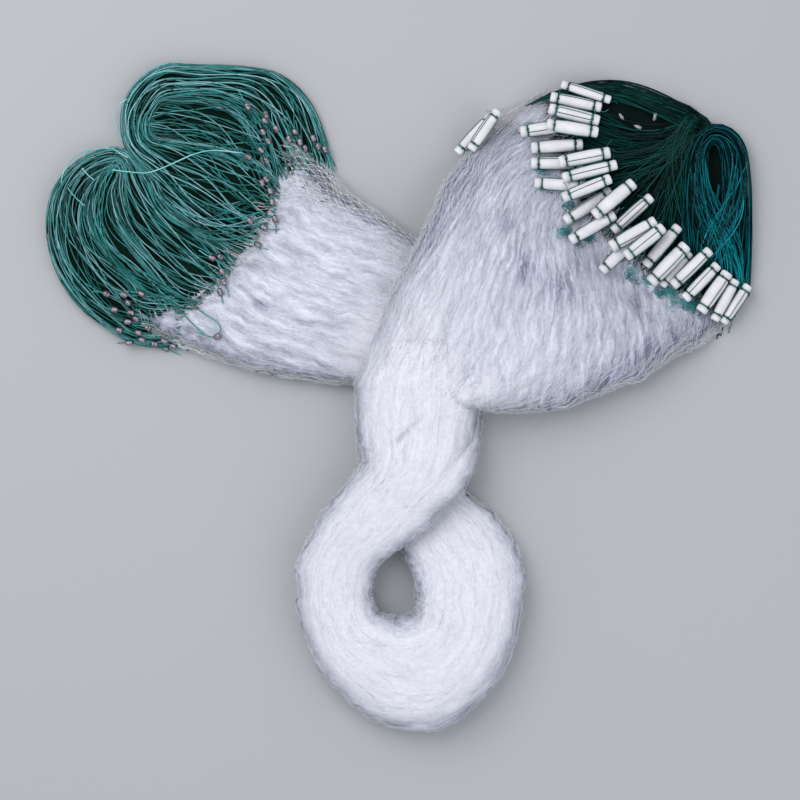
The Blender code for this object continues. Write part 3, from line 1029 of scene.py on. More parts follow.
def furrow_at(along, side):
    """How high the netting stands at a place along and across it, from about -1 to 1."""
    long = noise.noise((along / FURROW_SPAN, side / FURROW_WIDTH, 0.0))
    fine = noise.noise((along / (FURROW_SPAN / 3), side / (FURROW_WIDTH / 2.4), 9.0))
    return 1.3 * long + 0.6 * fine


def cover_at(section, share):
    """How dense the netting is at a point: 1 where it is thick, and towards 0 where it is loose and low."""
    loose = max(LOOSE, section.loose if share > 0 else 0.0)
    edge = max(0.0, (abs(share) - 1 + loose) / loose)
    edge *= min(1.0, max(0.0, (SOLID_ABOVE - section.top) / FADE_HEIGHT))
    return (1 - max(0.0, section.clear)) * (1 - EDGE_FADE * edge)


print("the netting's first edge is dense by", round(cover_at(NETTING[0], 1.0), 2))

# %% Thin places and painted shade
# The share of the half width at an edge that turns grey with painted shade.
RIM = 0.45
# How much greyer the netting is painted at its rims and in the crease, a painted shade, as a share of
# the thinnest netting's grey.
RIM_SHADE = 1.5
CREASE_SHADE = 0.8
# Where the netting is thinner and painted greyer with shade, or thicker and lighter: the middle of each
# place, its reach in x and y in mm, and how much is added to its thinness and its painted shade.
Spot = namedtuple("Spot", "x y reach_x reach_y more")
THIN_AND_SHADED_SPOTS = (
    Spot(124, 123, 9, 24, 0.6),
    Spot(157, 102, 11, 18, 0.45),
    Spot(238, 98, 9, 18, 0.45),
    Spot(104, 176, 7, 20, 0.3),
    Spot(180, 128, 9, 14, 0.3),
    Spot(-139, 91, 16, 7, 0.6),
    Spot(-146, 130, 14, 7, 0.5),
    Spot(-95, 70, 20, 6, 0.5),
    # The last three take the painted shade of the rims away where the two arms meet.
    Spot(-43, 30, 14, 14, -0.8),
    Spot(-36, 50, 14, 14, -0.8),
    Spot(-27, 75, 14, 16, -0.6),
)


def spot_at(place, spot):
    """How much a thin place adds here."""
    away = ((place.x - spot.x) / spot.reach_x) ** 2 + ((place.y - spot.y) / spot.reach_y) ** 2
    return spot.more * math.exp(-away)


def thinness_and_shade_at(section, share, place, crease):
    """How thin the netting is at a point, and so how much painted shade it gets, from 0 to about 2."""
    rim = max(0.0, (abs(share) - 1 + RIM) / RIM) ** 2
    thin = section.thin + CREASE_SHADE * crease + rim * (RIM_SHADE - 0.6 * section.thin)
    return thin + sum(spot_at(place, spot) for spot in THIN_AND_SHADED_SPOTS)


print("thin places:", sum(spot.more > 0 for spot in THIN_AND_SHADED_SPOTS))

# %% Closed forms from rings of points
def faces_between(rings):
    """The faces that join each ring of points to the next."""
    faces = []
    for near, far in zip(rings, rings[1:]):
        for k in range(len(near)):
            n = (k + 1) % len(near)
            faces.append((near[k], near[n], far[n], far[k]))
    return faces


def smooth_mesh(name, made):
    """A finished bmesh as a mesh that is shaded smooth."""
    mesh = bpy.data.meshes.new(name)
    made.to_mesh(mesh)
    made.free()
    mesh.shade_smooth()
    return mesh


def joined_mesh(name, meshes):
    """Several meshes as one."""
    made = bmesh.new()
    for mesh in meshes:
        made.from_mesh(mesh)
    return smooth_mesh(name, made)


def keep_closed(name, made, material):
    """A closed bmesh as a piece, with its faces turned outwards."""
    bmesh.ops.recalc_face_normals(made, faces=made.faces)
    return add_piece(name, smooth_mesh(name, made), material)


print("faces between two rings of four:", len(faces_between([range(4), range(4, 8)])))

# %% Build the depth
CORE_STEPS = 8
CORE_OVER = 72
CORE_INSET = 2.0
FURROW_DEPTH = 0.3
# How far the streaks drift sideways for each mm along the arm that spreads to the floats.
MASS_SKEW = 0.75
# How near the mass comes to the floor, in mm.
LOWEST = 0.6


def core_mesh(
    name,
    sections,
    inset=CORE_INSET,
    columns=CORE_OVER,
    steps=CORE_STEPS,
    netting=True,
    lumps=1.0,
    skew_from=None,
):
    """A closed strand with furrows over its crown, and what its finish needs to know at each point.

    The flow of a point is its place along and across the strand in mm and how thin the netting is there,
    which also sets how much painted shade it gets, and its cover says how dense it is. netting is False for
    a hank of line, which has no use for either.
    lumps says how much of the swelling of loose edges the strand gets, and its streaks drift sideways from
    the row skew_from on.
    """
    run = smoothed(sections, steps)
    along = 0.0
    drift = 0.0
    under_columns = max(4, columns // 4)
    crown = [math.cos(math.pi * k / columns) for k in range(columns + 1)]
    belly = [-math.cos(math.pi * k / under_columns) for k in range(1, under_columns)]
    points, flow, cover, rings = [], [], [], []
    for i, section in enumerate(run):
        step = math.dist(section[:2], run[max(i - 1, 0)][:2])
        along += step
        if skew_from and i > skew_from * steps:
            drift += step * MASS_SKEW
        across = directions(section)[0]
        # Where the netting is thick, its mass lies closer under the surface.
        deep = inset * (0.4 + 0.6 * min(1.0, 2.5 * section.thin)) if netting else inset
        ring = []
        for k, share in enumerate(crown + belly):
            over, under = section_point(section, share, deep)
            side = share * section.half
            if k < len(crown):
                place = over
                place.z += furrow_at(along, side) * FURROW_DEPTH * (1 - share**8)
            else:
                place = under
            if netting:
                place += across * lump_at(along, share) * lumps
            crease = 0.0
            if netting and k < len(crown):
                place = laid_over(place)
                crease = crease_at(place)
                place.z -= crease * CREASE_DEPTH
            place.z = max(place.z, LOWEST)
            ring.append(len(points))
            points.append(place * MM)
            skewed = side - drift * (1 - max(0.0, share) ** 2)
            flow.append((along, skewed, thinness_and_shade_at(section, share, place, crease)))
            cover.append(cover_at(section, share))
        rings.append(ring)
    faces = [*faces_between(rings), rings[0][::-1], rings[-1]]
    mesh = bpy.data.meshes.new(name + "_points")
    mesh.from_pydata(points, [], faces)
    store_at_points(mesh, "flow", flow, "FLOAT_VECTOR")
    store_at_points(mesh, "cover", cover)
    made = bmesh.new()
    made.from_mesh(mesh)
    bmesh.ops.recalc_face_normals(made, faces=made.faces)
    return smooth_mesh(name, made)


print("points over the netting's depth:", CORE_OVER + 1)

# %% A finish for netting in a mass
def between(t, value, low, high):
    """A value spread from 0 at low to 1 at high."""
    inputs = {"Value": value, "From Min": low, "From Max": high}
    return t.node("ShaderNodeMapRange", inputs).outputs["Result"]


def add_bump(t, shader, height, strength, depth):
    """Makes a finish look rough, by a pattern of heights and their depth in mm."""
    inputs = {"Height": height, "Strength": strength, "Distance": depth * MM}
    t.feed(shader.inputs["Normal"], t.node("ShaderNodeBump", inputs).outputs["Normal"])


# One over the length and the width of a streak and of a fold, in mm.
STREAK_SIZE = (1 / 13, 1 / 1.5, 0.0)
FOLD_SIZE = (1 / 34, 1 / 7.5, 0.0)
THICK_SHADE = (0.66, 0.66, 0.74)
THICK_LIGHT = (0.83, 0.83, 0.90)
THIN_SHADE = (0.16, 0.18, 0.26)
THIN_LIGHT = (0.73, 0.76, 0.88)


def mass_material():
    """Netting in a mass: painted light and shade in streaks and folds along its flow, greyer with painted
    shade where thin, and clear where loose.
    """
    material, t, shader = shader_of("netting_in_a_mass", 0.75, specular=0.3)
    flow = t.stored("flow", "Vector")
    own = t.own_place()
    warp = t.noise(own, 45.0, 2.0).outputs["Fac"]
    warp = t.place(0.0, t.math("MULTIPLY", t.math("SUBTRACT", warp, 0.5), 16.0))
    flow = t.vector("ADD", flow, warp)
    streaks = t.noise(t.vector("MULTIPLY", flow, STREAK_SIZE), 1.0, 4.0).outputs["Fac"]
    folds = t.noise(t.vector("MULTIPLY", flow, FOLD_SIZE), 1.0, 2.0).outputs["Fac"]
    cross = t.noise(own, 260.0, 3.0).outputs["Fac"]
    light = between(t, t.math("ADD", streaks, t.math("ADD", folds, cross)), 1.1, 1.9)
    white = mixed(t, light, THICK_SHADE, THICK_LIGHT)
    # Thin netting is mixed to grey, a painted shade of what lies under it, and darker still where it is
    # barest.
    thin = t.node("ShaderNodeSeparateXYZ", {"Vector": flow}).outputs["Z"]
    bare = t.math("MAXIMUM", t.math("SUBTRACT", thin, 1.0), 0.0)
    light = t.math("ADD", streaks, t.math("MULTIPLY", folds, 2.0))
    light = t.math("ADD", t.math("MULTIPLY", cross, 0.5), light)
    light = t.math("MULTIPLY_ADD", bare, -0.55, between(t, light, 1.3, 2.2))
    grey = mixed(t, light, THIN_SHADE, THIN_LIGHT)
    t.feed(shader.inputs["Base Color"], mixed(t, t.math("MULTIPLY", thin, 0.7), white, grey))
    cover = t.stored("cover")
    gap = between(t, t.math("ADD", streaks, t.math("MULTIPLY", folds, 0.6)), 0.55, 1.05)
    gap = t.math("MULTIPLY_ADD", gap, 0.8, 0.1)
    t.feed(shader.inputs["Alpha"], between(t, t.math("SUBTRACT", cover, gap), -0.1, 0.1))
    add_bump(t, shader, t.math("ADD", streaks, cross), strength=0.22, depth=1.0)
    return material


mass = mass_material()
print("finish of the mass:", mass.name)

# %% The netting's mass
NECK_COVER = (
    Section(30, 62, 0, 34, 67, left=40, middle=40, right=40, clear=0.9),
    Section(24, 40, 0, 46, 68.5, left=30, middle=30, right=30),
    Section(18, 14, 0, 60, 69, left=4, middle=10, right=4),
    Section(16.5, -14, 0, 62, 68, left=2, middle=6, right=2),
    Section(16, -42, 0, 59, 67.5, left=2, middle=6, right=2),
    Section(13, -66, -12, 51, 68, left=4, middle=10, right=8),
    Section(2, -92, -28, 44, 67.5, left=30, middle=30, right=30),
    Section(-14, -112, -26, 38, 64, left=40, middle=40, right=40, clear=0.9),
)
# Above the uppermost floats the netting reaches a little further up the float line.
UPPER_APRON = (
    Section(110, 246, 136, 18, 12, clear=0.6, thin=0.6),
    Section(123, 263, 136, 21, 14, thin=0.8),
    Section(138, 277, 136, 19, 14, clear=0.1, thin=1.0),
    Section(157, 296, 136, 12, 12, clear=1.0, thin=1.0),
)
FLOAT_ARM_ROW = 29
core = joined_mesh(
    "netting_depth",
    [
        core_mesh("netting_core", NETTING, skew_from=FLOAT_ARM_ROW),
        core_mesh("apron_core", UPPER_APRON, columns=28, steps=6),
        core_mesh("neck_core", NECK_COVER, inset=1.5, columns=80, steps=12, lumps=0.2),
    ],
)
netting_depth = add_piece("netting_depth", core, mass)
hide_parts("netting")

# %% [markdown]
# ## The fibres of the netting
#
# Over that depth lie the fibres themselves. In a gathered gill net they run lengthwise, kinked where each
# knot was, and neighbours part and meet again as the meshes are drawn shut. They are laid in three
# stretches, so that each piece stays light: the lead line's arm, the neck and ring, and the arm that
# spreads to the floats, whose fibres drift sideways as it opens. Each stretch overlaps the next by a row,
# and its strands end at different places, so no seam shows.

# %% Lay the fibres
Stretch = namedtuple(
    "Stretch", "name material first last strands points mesh fluff seed skew", defaults=(0.0,)
)
STRETCHES = (
    Stretch("fibres_of_lead_arm", soft_nylon, 0, 9, 200, 50, 1.4, 1.5, 11),
    Stretch("fibres_of_ring", soft_nylon, 8, 29, 120, 122, 1.2, 1.5, 23),
    Stretch("fibres_of_float_arm", nylon, 28, 37, 260, 60, 1.7, 1.6, 37, skew=0.5),
)
FIBRE_ACROSS = 0.5
STAGGER = 0.012
FIBRE_VALUES = {
    "Thickness": FIBRE_ACROSS,
    "Stagger": STAGGER,
    "Wander": 0.035,
    "Wander_Span": 70.0,
    "Bunch": 0.0,
    "Bunch_Span": 30.0,
    "Furrow": 0.2,
    "Lift": 0.2,
    "Fluff_Span": 5.0,
}


def lay_fibres(name, form=netting_form, length=netting_length, **values):
    """Fibres of netting over a form, as one piece."""
    inputs = FIBRE_VALUES | values
    return run_tree(name, form, strands_over_a_form, "netting", Length=length, **inputs)


for row in STRETCHES:
    lay_fibres(
        row.name,
        Material=row.material,
        Strands=row.strands,
        Points=row.points,
        Start=netting_shares[row.first],
        End=netting_shares[row.last],
        Mesh=row.mesh,
        Fluff=row.fluff,
        Seed=row.seed,
        Skew=row.skew,
        # Strands that drift to the left leave the right edge, so more of them start beyond it.
        Right=1 + 0.4 * row.skew,
    )

# %% [markdown]
# ## Fluff and the places where strands merge
#
# Long strands alone look combed, and a net never does: slack meshes stand up and lie across their
# neighbours everywhere. Short strands, laid at a slant and starting anywhere, give that cottony surface,
# and a fuzz of them follows both edges and the rim of the ring's eye. At the neck the two arms grow
# together, and a few fibres lead from one to the other. A few more reach up the float line above the
# uppermost floats.

# %% Short fluff
SHORT = 0.012
Fluff = namedtuple("Fluff", "name material first last strands slant seed skew", defaults=(0.0,))
FLUFFS = (
    Fluff("fluff_of_lead_arm", soft_nylon, 0, 9, 900, 0.03, 51),
    Fluff("fluff_of_ring", soft_nylon, 9, 29, 750, 0.04, 53),
    Fluff("fluff_of_float_arm", nylon, 29, 37, 1800, 0.03, 57, skew=0.04),
)
for row in FLUFFS:
    start = netting_shares[row.first]
    end = netting_shares[row.last]
    lay_fibres(
        row.name,
        Material=row.material,
        Strands=row.strands,
        Points=8,
        Start=start,
        End=end,
        Stagger=end - start - SHORT,
        Short=SHORT,
        Slant=row.slant,
        Skew=row.skew,
        Mesh=1.0,
        Fluff=1.9,
        Fluff_Span=3.4,
        Lift=0.7,
        Depth=0.05,
        Seed=row.seed,
    )

# %% Fuzz at the edges
FUZZ_SHORT = 0.02
FUZZES = (("fuzz_at_left_edges", -0.02, 0.11, 59), ("fuzz_at_right_edges", 0.89, 1.02, 63))
for name, left, right, seed in FUZZES:
    lay_fibres(
        name,
        Material=loose_nylon,
        Strands=420,
        Points=10,
        Left=left,
        Right=right,
        Stagger=1 - FUZZ_SHORT,
        Short=FUZZ_SHORT,
        Slant=0.04,
        Mesh=0.8,
        Fluff=4.0,
        Fluff_Span=6.0,
        Depth=0.6,
        Seed=seed,
    )

# %% Where strands merge
MERGES = (
    ("fibres_of_neck", NECK_COVER, 170, 30, 61),
    ("fibres_of_apron", UPPER_APRON, 90, 14, 73),
)
for name, rows, strands, points, seed in MERGES:
    form, length, _ = form_of(name + "_form", rows, lumps=0.2)
    lay_fibres(
        name,
        form,
        length,
        Material=soft_nylon,
        Strands=strands,
        Points=points,
        Stagger=0.3,
        Wander=0.04,
        Mesh=1.5,
        Fluff=1.8,
        Depth=0.1,
        Seed=seed,
    )

# %% [markdown]
# ## Open mesh at the loose side
#
# On the outer side of the lead line's arm the netting isn't gathered, and its diamonds can be seen. Each
# twine of the sheet goes to and fro between its two neighbours and is knotted to one of them at every turn.
# So a sheet is a row of zigzag lines, each out of step with the next, and a knot where two of them touch.

# %% Diamonds and knots
Sheet = namedtuple("Sheet", "rows first last near far twines")
OPEN_MESH = Sheet(NETTING, 1, 6, 0.56, 0.995, 17)
MESH_STEP = 5
MESH_TWINE_ACROSS = 0.45
# How far a twine goes to a side at each turn, and how far it strays, as shares of the pitch.
TURN_SHARE = 0.47
STRAY_SHARE = 2.2
MESH_LIFT = 1.2
KNOT_SIZE = 0.75
KNOT_ACROSS = 1.3
Point = namedtuple("Point", "x y z")


def smooth_points(points):
    """A smooth curve through points, with one more point between each two."""
    return [Vector(point) for point in smoothed([Point(*point) for point in points], 2)]


def open_mesh(sheet):
    """The twines of a sheet of mesh, and the places of its knots."""
    run = smoothed(sheet.rows[sheet.first : sheet.last], MESH_STEP)
    pitch = (sheet.far - sheet.near) / sheet.twines
    twines, knots = [], []
    for i in range(sheet.twines):
        points = []
        for k, section in enumerate(run):
            side = TURN_SHARE if (i + k) % 2 else -TURN_SHARE
            drift = noise.noise((k / 6.0, i / 5.0, 2.0)) * STRAY_SHARE
            share = sheet.near + pitch * (i + 0.5 + side + drift)
            over = laid_over(section_point(section, min(sheet.far, share))[0])
            over.z += MESH_LIFT + MESH_LIFT * noise.noise((k / 3.0, i / 3.0, 6.0))
            points.append(over)
            if side > 0 and i + 1 < sheet.twines:
                knots.append(over)
        twines.append(Line(smooth_points(points), MESH_TWINE_ACROSS, rng.uniform(0.4, 1.0)))
    return twines, knots


twines, knots = open_mesh(OPEN_MESH)
for knot in knots:
    aside = (level_stray(1) + UP * 0.2).normalized() * KNOT_SIZE
    twines.append(Line([knot - aside, knot, knot + aside], KNOT_ACROSS, 1.0))
lay_lines("open_mesh", twines, "netting", loose_nylon, sides=4)
print("knots:", len(knots))

# %% [markdown]
# ## The lead line's hank
#
# The lead line was gathered in long bights, like a skein of yarn, and each lobe of its hank is a bundle of
# bights bent back on itself. A bundle is a form too, with far fewer and thicker strands in it than the
# netting has, and with the whole height of the hank to lie in. A few bights stand clear of the bundle, and
# those are drawn one by one.

# %% The two lobes of the lead line
UPPER_LOBE = (
    Section(-98, 214, 186, 32, 10),
    Section(-103, 236, 188, 34, 13),
    Section(-117, 270, 198, 36, 18),
    Section(-130, 291, 209, 34, 22),
    Section(-152, 306, 216, 32, 23),
    Section(-180, 312, 226, 26, 23),
    Section(-210, 313, 244, 21, 22),
    Section(-236, 313, 267, 20, 22),
    Section(-253, 301, 296, 19, 22),
    Section(-263, 282, 336, 17, 22),
    Section(-263, 262, 366, 16, 21),
    Section(-256, 250, 386, 17, 21),
    Section(-238, 240, 401, 25, 23),
    Section(-204, 221, 403, 41, 24),
    Section(-164, 195, 422, 46, 22),
    Section(-134, 178, 434, 40, 15),
    Section(-120, 169, 436, 36, 12),
)
LOWER_LOBE = (
    Section(-206, 80, 277, 27, 10),
    Section(-226, 78, 277, 29, 13),
    Section(-258, 79, 265, 29, 17),
    Section(-279, 92, 243, 29, 21),
    Section(-305, 115, 229, 30, 22),
    Section(-323, 143, 214, 28, 22),
    Section(-332, 175, 195, 24, 22),
    Section(-329, 202, 176, 21, 22),
    Section(-317, 222, 155, 17, 21),
    Section(-301, 233, 128, 14, 20),
    Section(-284, 237, 92, 13, 20),
    Section(-276, 229, 50, 14, 21),
    Section(-271, 205, 14, 23, 23),
    Section(-249, 167, 22, 31, 24),
    Section(-207, 128, 39, 38, 22),
    Section(-180, 113, 50, 28, 15),
    Section(-168, 103, 52, 26, 12),
)
print("rows of the two lobes:", len(UPPER_LOBE), len(LOWER_LOBE))

# %% Smaller bundles of the lead line
HOLLOW = (
    Section(-272, 276, 96, 13, 17),
    Section(-240, 278, 88, 20, 18),
    Section(-203, 272, 80, 25, 18),
    Section(-168, 258, 66, 28, 17),
    Section(-140, 240, 54, 28, 14),
)
FILL = (
    Section(-276, 238, 120, 10, 19),
    Section(-290, 226, 150, 13, 20),
    Section(-300, 203, 178, 17, 21),
    Section(-297, 172, 202, 19, 21),
    Section(-278, 142, 225, 20, 21),
    Section(-250, 117, 245, 20, 20),
    Section(-215, 101, 262, 20, 17),
    Section(-186, 98, 268, 18, 12),
)
SWIRL = (
    Section(-246, 216, 18, 9, 24),
    Section(-236, 193, 38, 14, 24),
    Section(-210, 176, 74, 19, 24),
    Section(-172, 173, 98, 21, 23),
    Section(-138, 186, 118, 20, 17),
)
print("rows of the smaller bundles:", len(HOLLOW), len(FILL), len(SWIRL))

# %% Lay a bundle
Bundle = namedtuple("Bundle", "name rows strands points wander bunch seed")
LEAD_BUNDLES = (
    Bundle("lead_line_upper_lobe", UPPER_LOBE, 150, 60, 0.18, 0.05, 3),
    Bundle("lead_line_lower_lobe", LOWER_LOBE, 150, 60, 0.18, 0.05, 5),
    Bundle("lead_line_over_hollow", HOLLOW, 90, 22, 0.30, 0.08, 7),
    Bundle("lead_line_fill", FILL, 90, 34, 0.24, 0.08, 8),
    Bundle("lead_line_swirl", SWIRL, 44, 26, 0.22, 0.06, 9),
)
LINE_ACROSS = 1.3


def lay_bundle(row, slot, material, depth=1.0):
    """One bundle of bights, as a piece. depth is the share of the hank's height that its strands lie in."""
    form, length, _ = form_of(row.name + "_form", row.rows)
    return run_tree(
        row.name,
        form,
        strands_over_a_form,
        slot,
        Material=material,
        Strands=row.strands,
        Points=row.points,
        Thickness=LINE_ACROSS,
        Length=length,
        Stagger=0.02,
        Depth=depth,
        Wander=row.wander,
        Wander_Span=90.0,
        Bunch=row.bunch,
        Bunch_Span=70.0,
        Fluff=0.6,
        Fluff_Span=60.0,
        Lift=-LINE_ACROSS / 2,
        Seed=row.seed,
    )


print("bundles of the lead line:", len(LEAD_BUNDLES))

# %% Depth in painted shade, and bundles of the lead line
HANK_DEPTH_SHARE = 0.62
HANK_DEPTH_INSET = 3


def shaded_hank_depth(name, forms, material):
    """Closed forms low inside a hank, where its inner turns of line lie, finished in painted shade."""
    meshes = []
    for i, rows in enumerate(forms):
        low = []
        for row in rows:
            half = row.half - HANK_DEPTH_INSET
            if half > 0:
                low.append(row._replace(half=half, top=row.top * HANK_DEPTH_SHARE))
        meshes.append(core_mesh(f"{name}_{i}", low, inset=1.0, columns=20, steps=5, netting=False))
    return add_piece(name, joined_mesh(name, meshes), material)


# The inner turns are painted almost black: a painted shade, far darker than the line's own green.
lead_depth_shade = strand_material(
    "lead_line_depth_in_painted_shade", (0.0005, 0.010, 0.006), (0.002, 0.045, 0.030), 0.8, cloud=0.6, span=25, specular=0.1
)
lead_forms = (UPPER_LOBE, LOWER_LOBE, HOLLOW, FILL)
lead_depth_in_shade = shaded_hank_depth("lead_line_depth_in_painted_shade", lead_forms, lead_depth_shade)
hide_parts("lead_line")
for row in LEAD_BUNDLES:
    lay_bundle(row, "lead_line", lead_cord)
# Paler strands lie on top of the bundles, a painted highlight where the top of the hank catches the light.
HIGHLIGHT_DEPTH = 0.12
HIGHLIT_BUNDLES = (
    Bundle("worn_line_upper_lobe", UPPER_LOBE, 44, 60, 0.14, 0.0, 83),
    Bundle("worn_line_lower_lobe", LOWER_LOBE, 44, 60, 0.14, 0.0, 85),
    Bundle("worn_line_fill", FILL, 12, 34, 0.25, 0.0, 87),
    Bundle("worn_line_over_hollow", HOLLOW, 12, 22, 0.3, 0.0, 89),
    Bundle("worn_line_swirl", SWIRL, 8, 26, 0.25, 0.0, 91),
)
for row in HIGHLIT_BUNDLES:
    lay_bundle(row, "lead_line", highlit_cord, depth=HIGHLIGHT_DEPTH)

# %% [markdown]
# ## The float line's hank
#
# The float line is a little darker, and fans out to every float from where it is gathered. Beyond a small
# notch it makes one tall bight round an eye, in a bluer length of line. The bight is a bundle too, and its
# inner strands cross below the eye.

# %% Bundles of the float line
FLOAT_SWEEP = (
    Section(203, 176, 131, 143, 12, bow=-44),
    Section(222, 197, 128, 130, 14, bow=-38),
    Section(245, 223, 123, 111, 18, bow=-27),
    Section(263, 242, 112, 76, 21, bow=-12),
    Section(278, 255, 104, 41, 23),
    Section(294, 267, 88, 17, 21),
    Section(304, 262, 60, 11, 17),
)
FLOAT_LOBE = (
    Section(310, 100, 172, 18, 10),
    Section(303, 130, 176, 17, 16),
    Section(297, 170, 178, 15, 21),
    Section(296, 215, 176, 13, 23),
    Section(298, 243, 160, 12, 23),
    Section(309, 261, 110, 10, 22),
    Section(323, 261, 60, 11, 22),
    Section(334, 246, 24, 13, 23),
    Section(338, 215, 4, 14, 23),
    Section(339, 170, -2, 14, 21),
    Section(339, 130, -3, 14, 16),
    Section(338, 100, -4, 13, 10),
)
LOBE_EYE = (
    Section(316, 253, 180, 9, 10),
    Section(317, 238, 180, 15, 12),
    Section(319, 206, 180, 17, 18),
    Section(320, 180, 180, 16, 20),
)
LOBE_FILL = (
    Section(317, 212, 180, 11, 18),
    Section(320, 170, 180, 15, 20),
    Section(322, 130, 180, 15, 16),
    Section(323, 100, 180, 14, 10),
)
FLOAT_BUNDLES = (
    Bundle("float_line_lobe", FLOAT_LOBE, 110, 50, 0.20, 0.06, 17),
    Bundle("float_line_lobe_fill", LOBE_FILL, 40, 24, 0.30, 0.06, 19),
)
# The float line's inner turns are painted almost black too: a painted shade.
float_depth_shade = strand_material(
    "float_line_depth_in_painted_shade",
    (0.0003, 0.005, 0.004),
    (0.0008, 0.016, 0.014),
    0.8,
    cloud=0.5,
    span=25,
    specular=0.1,
)
float_forms = (FLOAT_SWEEP, FLOAT_LOBE, LOBE_EYE, LOBE_FILL)
float_depth_in_shade = shaded_hank_depth("float_line_depth_in_painted_shade", float_forms, float_depth_shade)
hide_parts("float_line")
for row in FLOAT_BUNDLES:
    lay_bundle(row, "float_line", blue_cord)

# %% Routes from the floats to where the line is gathered
GATHER_AT = Vector((296, 274, 0))
GATHER_SPREAD = 12
# The shares of the strands that go over the top and dip below the hollow. The rest fan out to the floats.
OVER_TOP = 0.22
BELOW_HOLLOW = 0.24
FLOATS = "float_"
float_names = sorted(name for name in nodes if name.startswith(FLOATS) and name[len(FLOATS) :].isdigit())


def edge_of(section, share):
    """A place on the edge that a section's row makes, and the way square to that edge."""
    across, ahead = directions(section)
    way = ahead * section.half + across * 2 * section.bow * share
    return section_point(section, share)[0], way.normalized()


def laid_on(points, names, sunk, over=0.5):
    """The points put on the solids of these names, sunk by a share of their height."""
    result = []
    for point in points:
        high = height_at(point.x, point.y, names)
        result.append(Vector((point.x, point.y, max(over, high * (1 - sunk) + over))))
    return result


def sweep_route(kind):
    """The level route of one strand from the netting to where the line is gathered."""
    far = rng.random()
    if kind < OVER_TOP:
        # from beside the uppermost floats
        start = Vector((125 + 42 * far, 291 + 22 * far, 0.0))
        start += Vector((0.7, -0.7, 0.0)) * rng.uniform(0, 6) * (0.4 + 0.6 * far)
        way = pointing(rng.uniform(4, 16) + 18 * (1 - far))
        arrive = pointing(rng.uniform(-32, -16))
    elif kind < OVER_TOP + BELOW_HOLLOW:
        # from the floats that lie beside the hollow
        start = Vector((146 + 22 * far, 256 + 48 * far, 0.0))
        way = pointing(rng.uniform(-48, -16))
        arrive = pointing(rng.uniform(28, 60))
    else:
        # from under the netting's edge
        place, way = edge_of(NETTING[-1], rng.uniform(-0.98, 0.6))
        start = place - way * rng.uniform(12, 34)
        arrive = pointing(rng.uniform(44, 72))
    start.z = 0.0
    end = GATHER_AT + arrive.cross(UP) * rng.uniform(-GATHER_SPREAD, GATHER_SPREAD)
    route = bend(start, way, end, arrive, 18, steepness=rng.uniform(0.34, 0.5))
    # Past the place where it is gathered, it turns down into the bight.
    beyond = Vector((314 + rng.uniform(-4, 6), 250 + rng.uniform(-6, 6), 0.0))
    return route + bend(end, (arrive + pointing(-20)).normalized(), beyond, pointing(-70), 6)[1:]


print("floats that the line fans out to:", len(float_names))

# %% Lay the sweep
# The strands sink where they are gathered, over their last points.
GATHERED_POINTS = 5
GATHERED_SHARE = 0.7
# The outermost strands start high, to come from over the netting. None is raised where a float lies.
RAISED_POINTS = 8
RAISED_TO = 16.5
SWEEP_STRANDS = 350
lines = []
for k in range(SWEEP_STRANDS):
    points = laid_on(sweep_route(k / SWEEP_STRANDS), ("float_line",), rng.random() ** 2 * 0.8)
    for point in points[-GATHERED_POINTS:]:
        point.z *= GATHERED_SHARE
    if k < SWEEP_STRANDS * OVER_TOP / 2:
        for point in points[:RAISED_POINTS]:
            if not height_at(point.x, point.y, float_names):
                point.z = max(point.z, RAISED_TO)
    lines.append(Line(points, LINE_ACROSS, rng.random()))
lay_lines("float_line_sweep", lines, "float_line", float_cord)

# %% Strands that cross below the eye
CROSSINGS = 56
SINGLE_LINE_ACROSS = 1.1
DOWN_THE_HANK = Vector((0.0, -1.0, 0.0))
lines = []
for k in range(CROSSINGS):
    side = 1 if k % 2 else -1
    start = Vector((318 + side * rng.uniform(12, 30), rng.uniform(185, 250), 0.0))
    end = Vector((320 - side * rng.uniform(2, 24), rng.uniform(98, 140), 0.0))
    points = bend(start, DOWN_THE_HANK, end, DOWN_THE_HANK, 14)
    points = laid_on(points, ("float_line",), rng.random() * 0.15)
    lines.append(Line(points, SINGLE_LINE_ACROSS, rng.random()))
lay_lines("float_line_crossings", lines, "float_line", blue_cord)

# %% [markdown]
# ## Loose stretches of the lead line
#
# Two stretches of line lie free on top of the hank: a loop that holds one sinker and goes back into the
# hank, and a cut end. Each is a laid line of three plies, so its surface has three shallow grooves that
# turn along it, painted darker as shade. The routes are the ones that the solids follow.

# %% Routes of the loose line
CORD_STEP = 3.0
LOOP_ROUTE = (
    Point(-240, 105, 11),
    Point(-232, 95, 14.2),
    Point(-219, 84, 15.5),
    Point(-208, 73, 18.5),
    Point(-199, 64.5, 23),
    Point(-191, 59.5, 26.5),
    Point(-185, 59, 29),
    Point(-181, 62, 30.5),
    Point(-178.5, 66.5, 31.5),
    Point(-182, 73, 30),
    Point(-192, 80, 25),
    Point(-203, 88, 20.5),
    Point(-209, 96, 19),
    Point(-212, 106, 19.5),
)
END_ROUTE = (
    Point(-288, 226, 20.6),
    Point(-279, 225, 20.9),
    Point(-270, 224, 21.4),
    Point(-254, 223, 22),
    Point(-239, 227, 24.8),
    Point(-223, 234, 25.4),
    Point(-207, 241, 25),
    Point(-192, 245, 23.6),
    Point(-176, 245, 20.9),
    Point(-158, 243, 17),
)


def smooth_route(route, step=CORD_STEP):
    """Points close together on a smooth curve through a route."""
    length = sum(math.dist(a, b) for a, b in zip(route, route[1:]))
    return smoothed(route, math.ceil(length / step / (len(route) - 1)))


print("points along the two cords:", len(smooth_route(LOOP_ROUTE)), len(smooth_route(END_ROUTE)))

# %% A line laid from three plies
PLIES = 3
LINE_SIDES = 9
PLY_GROOVE = 0.12
RING_STEP = 1.1
RING_TURN = 0.35


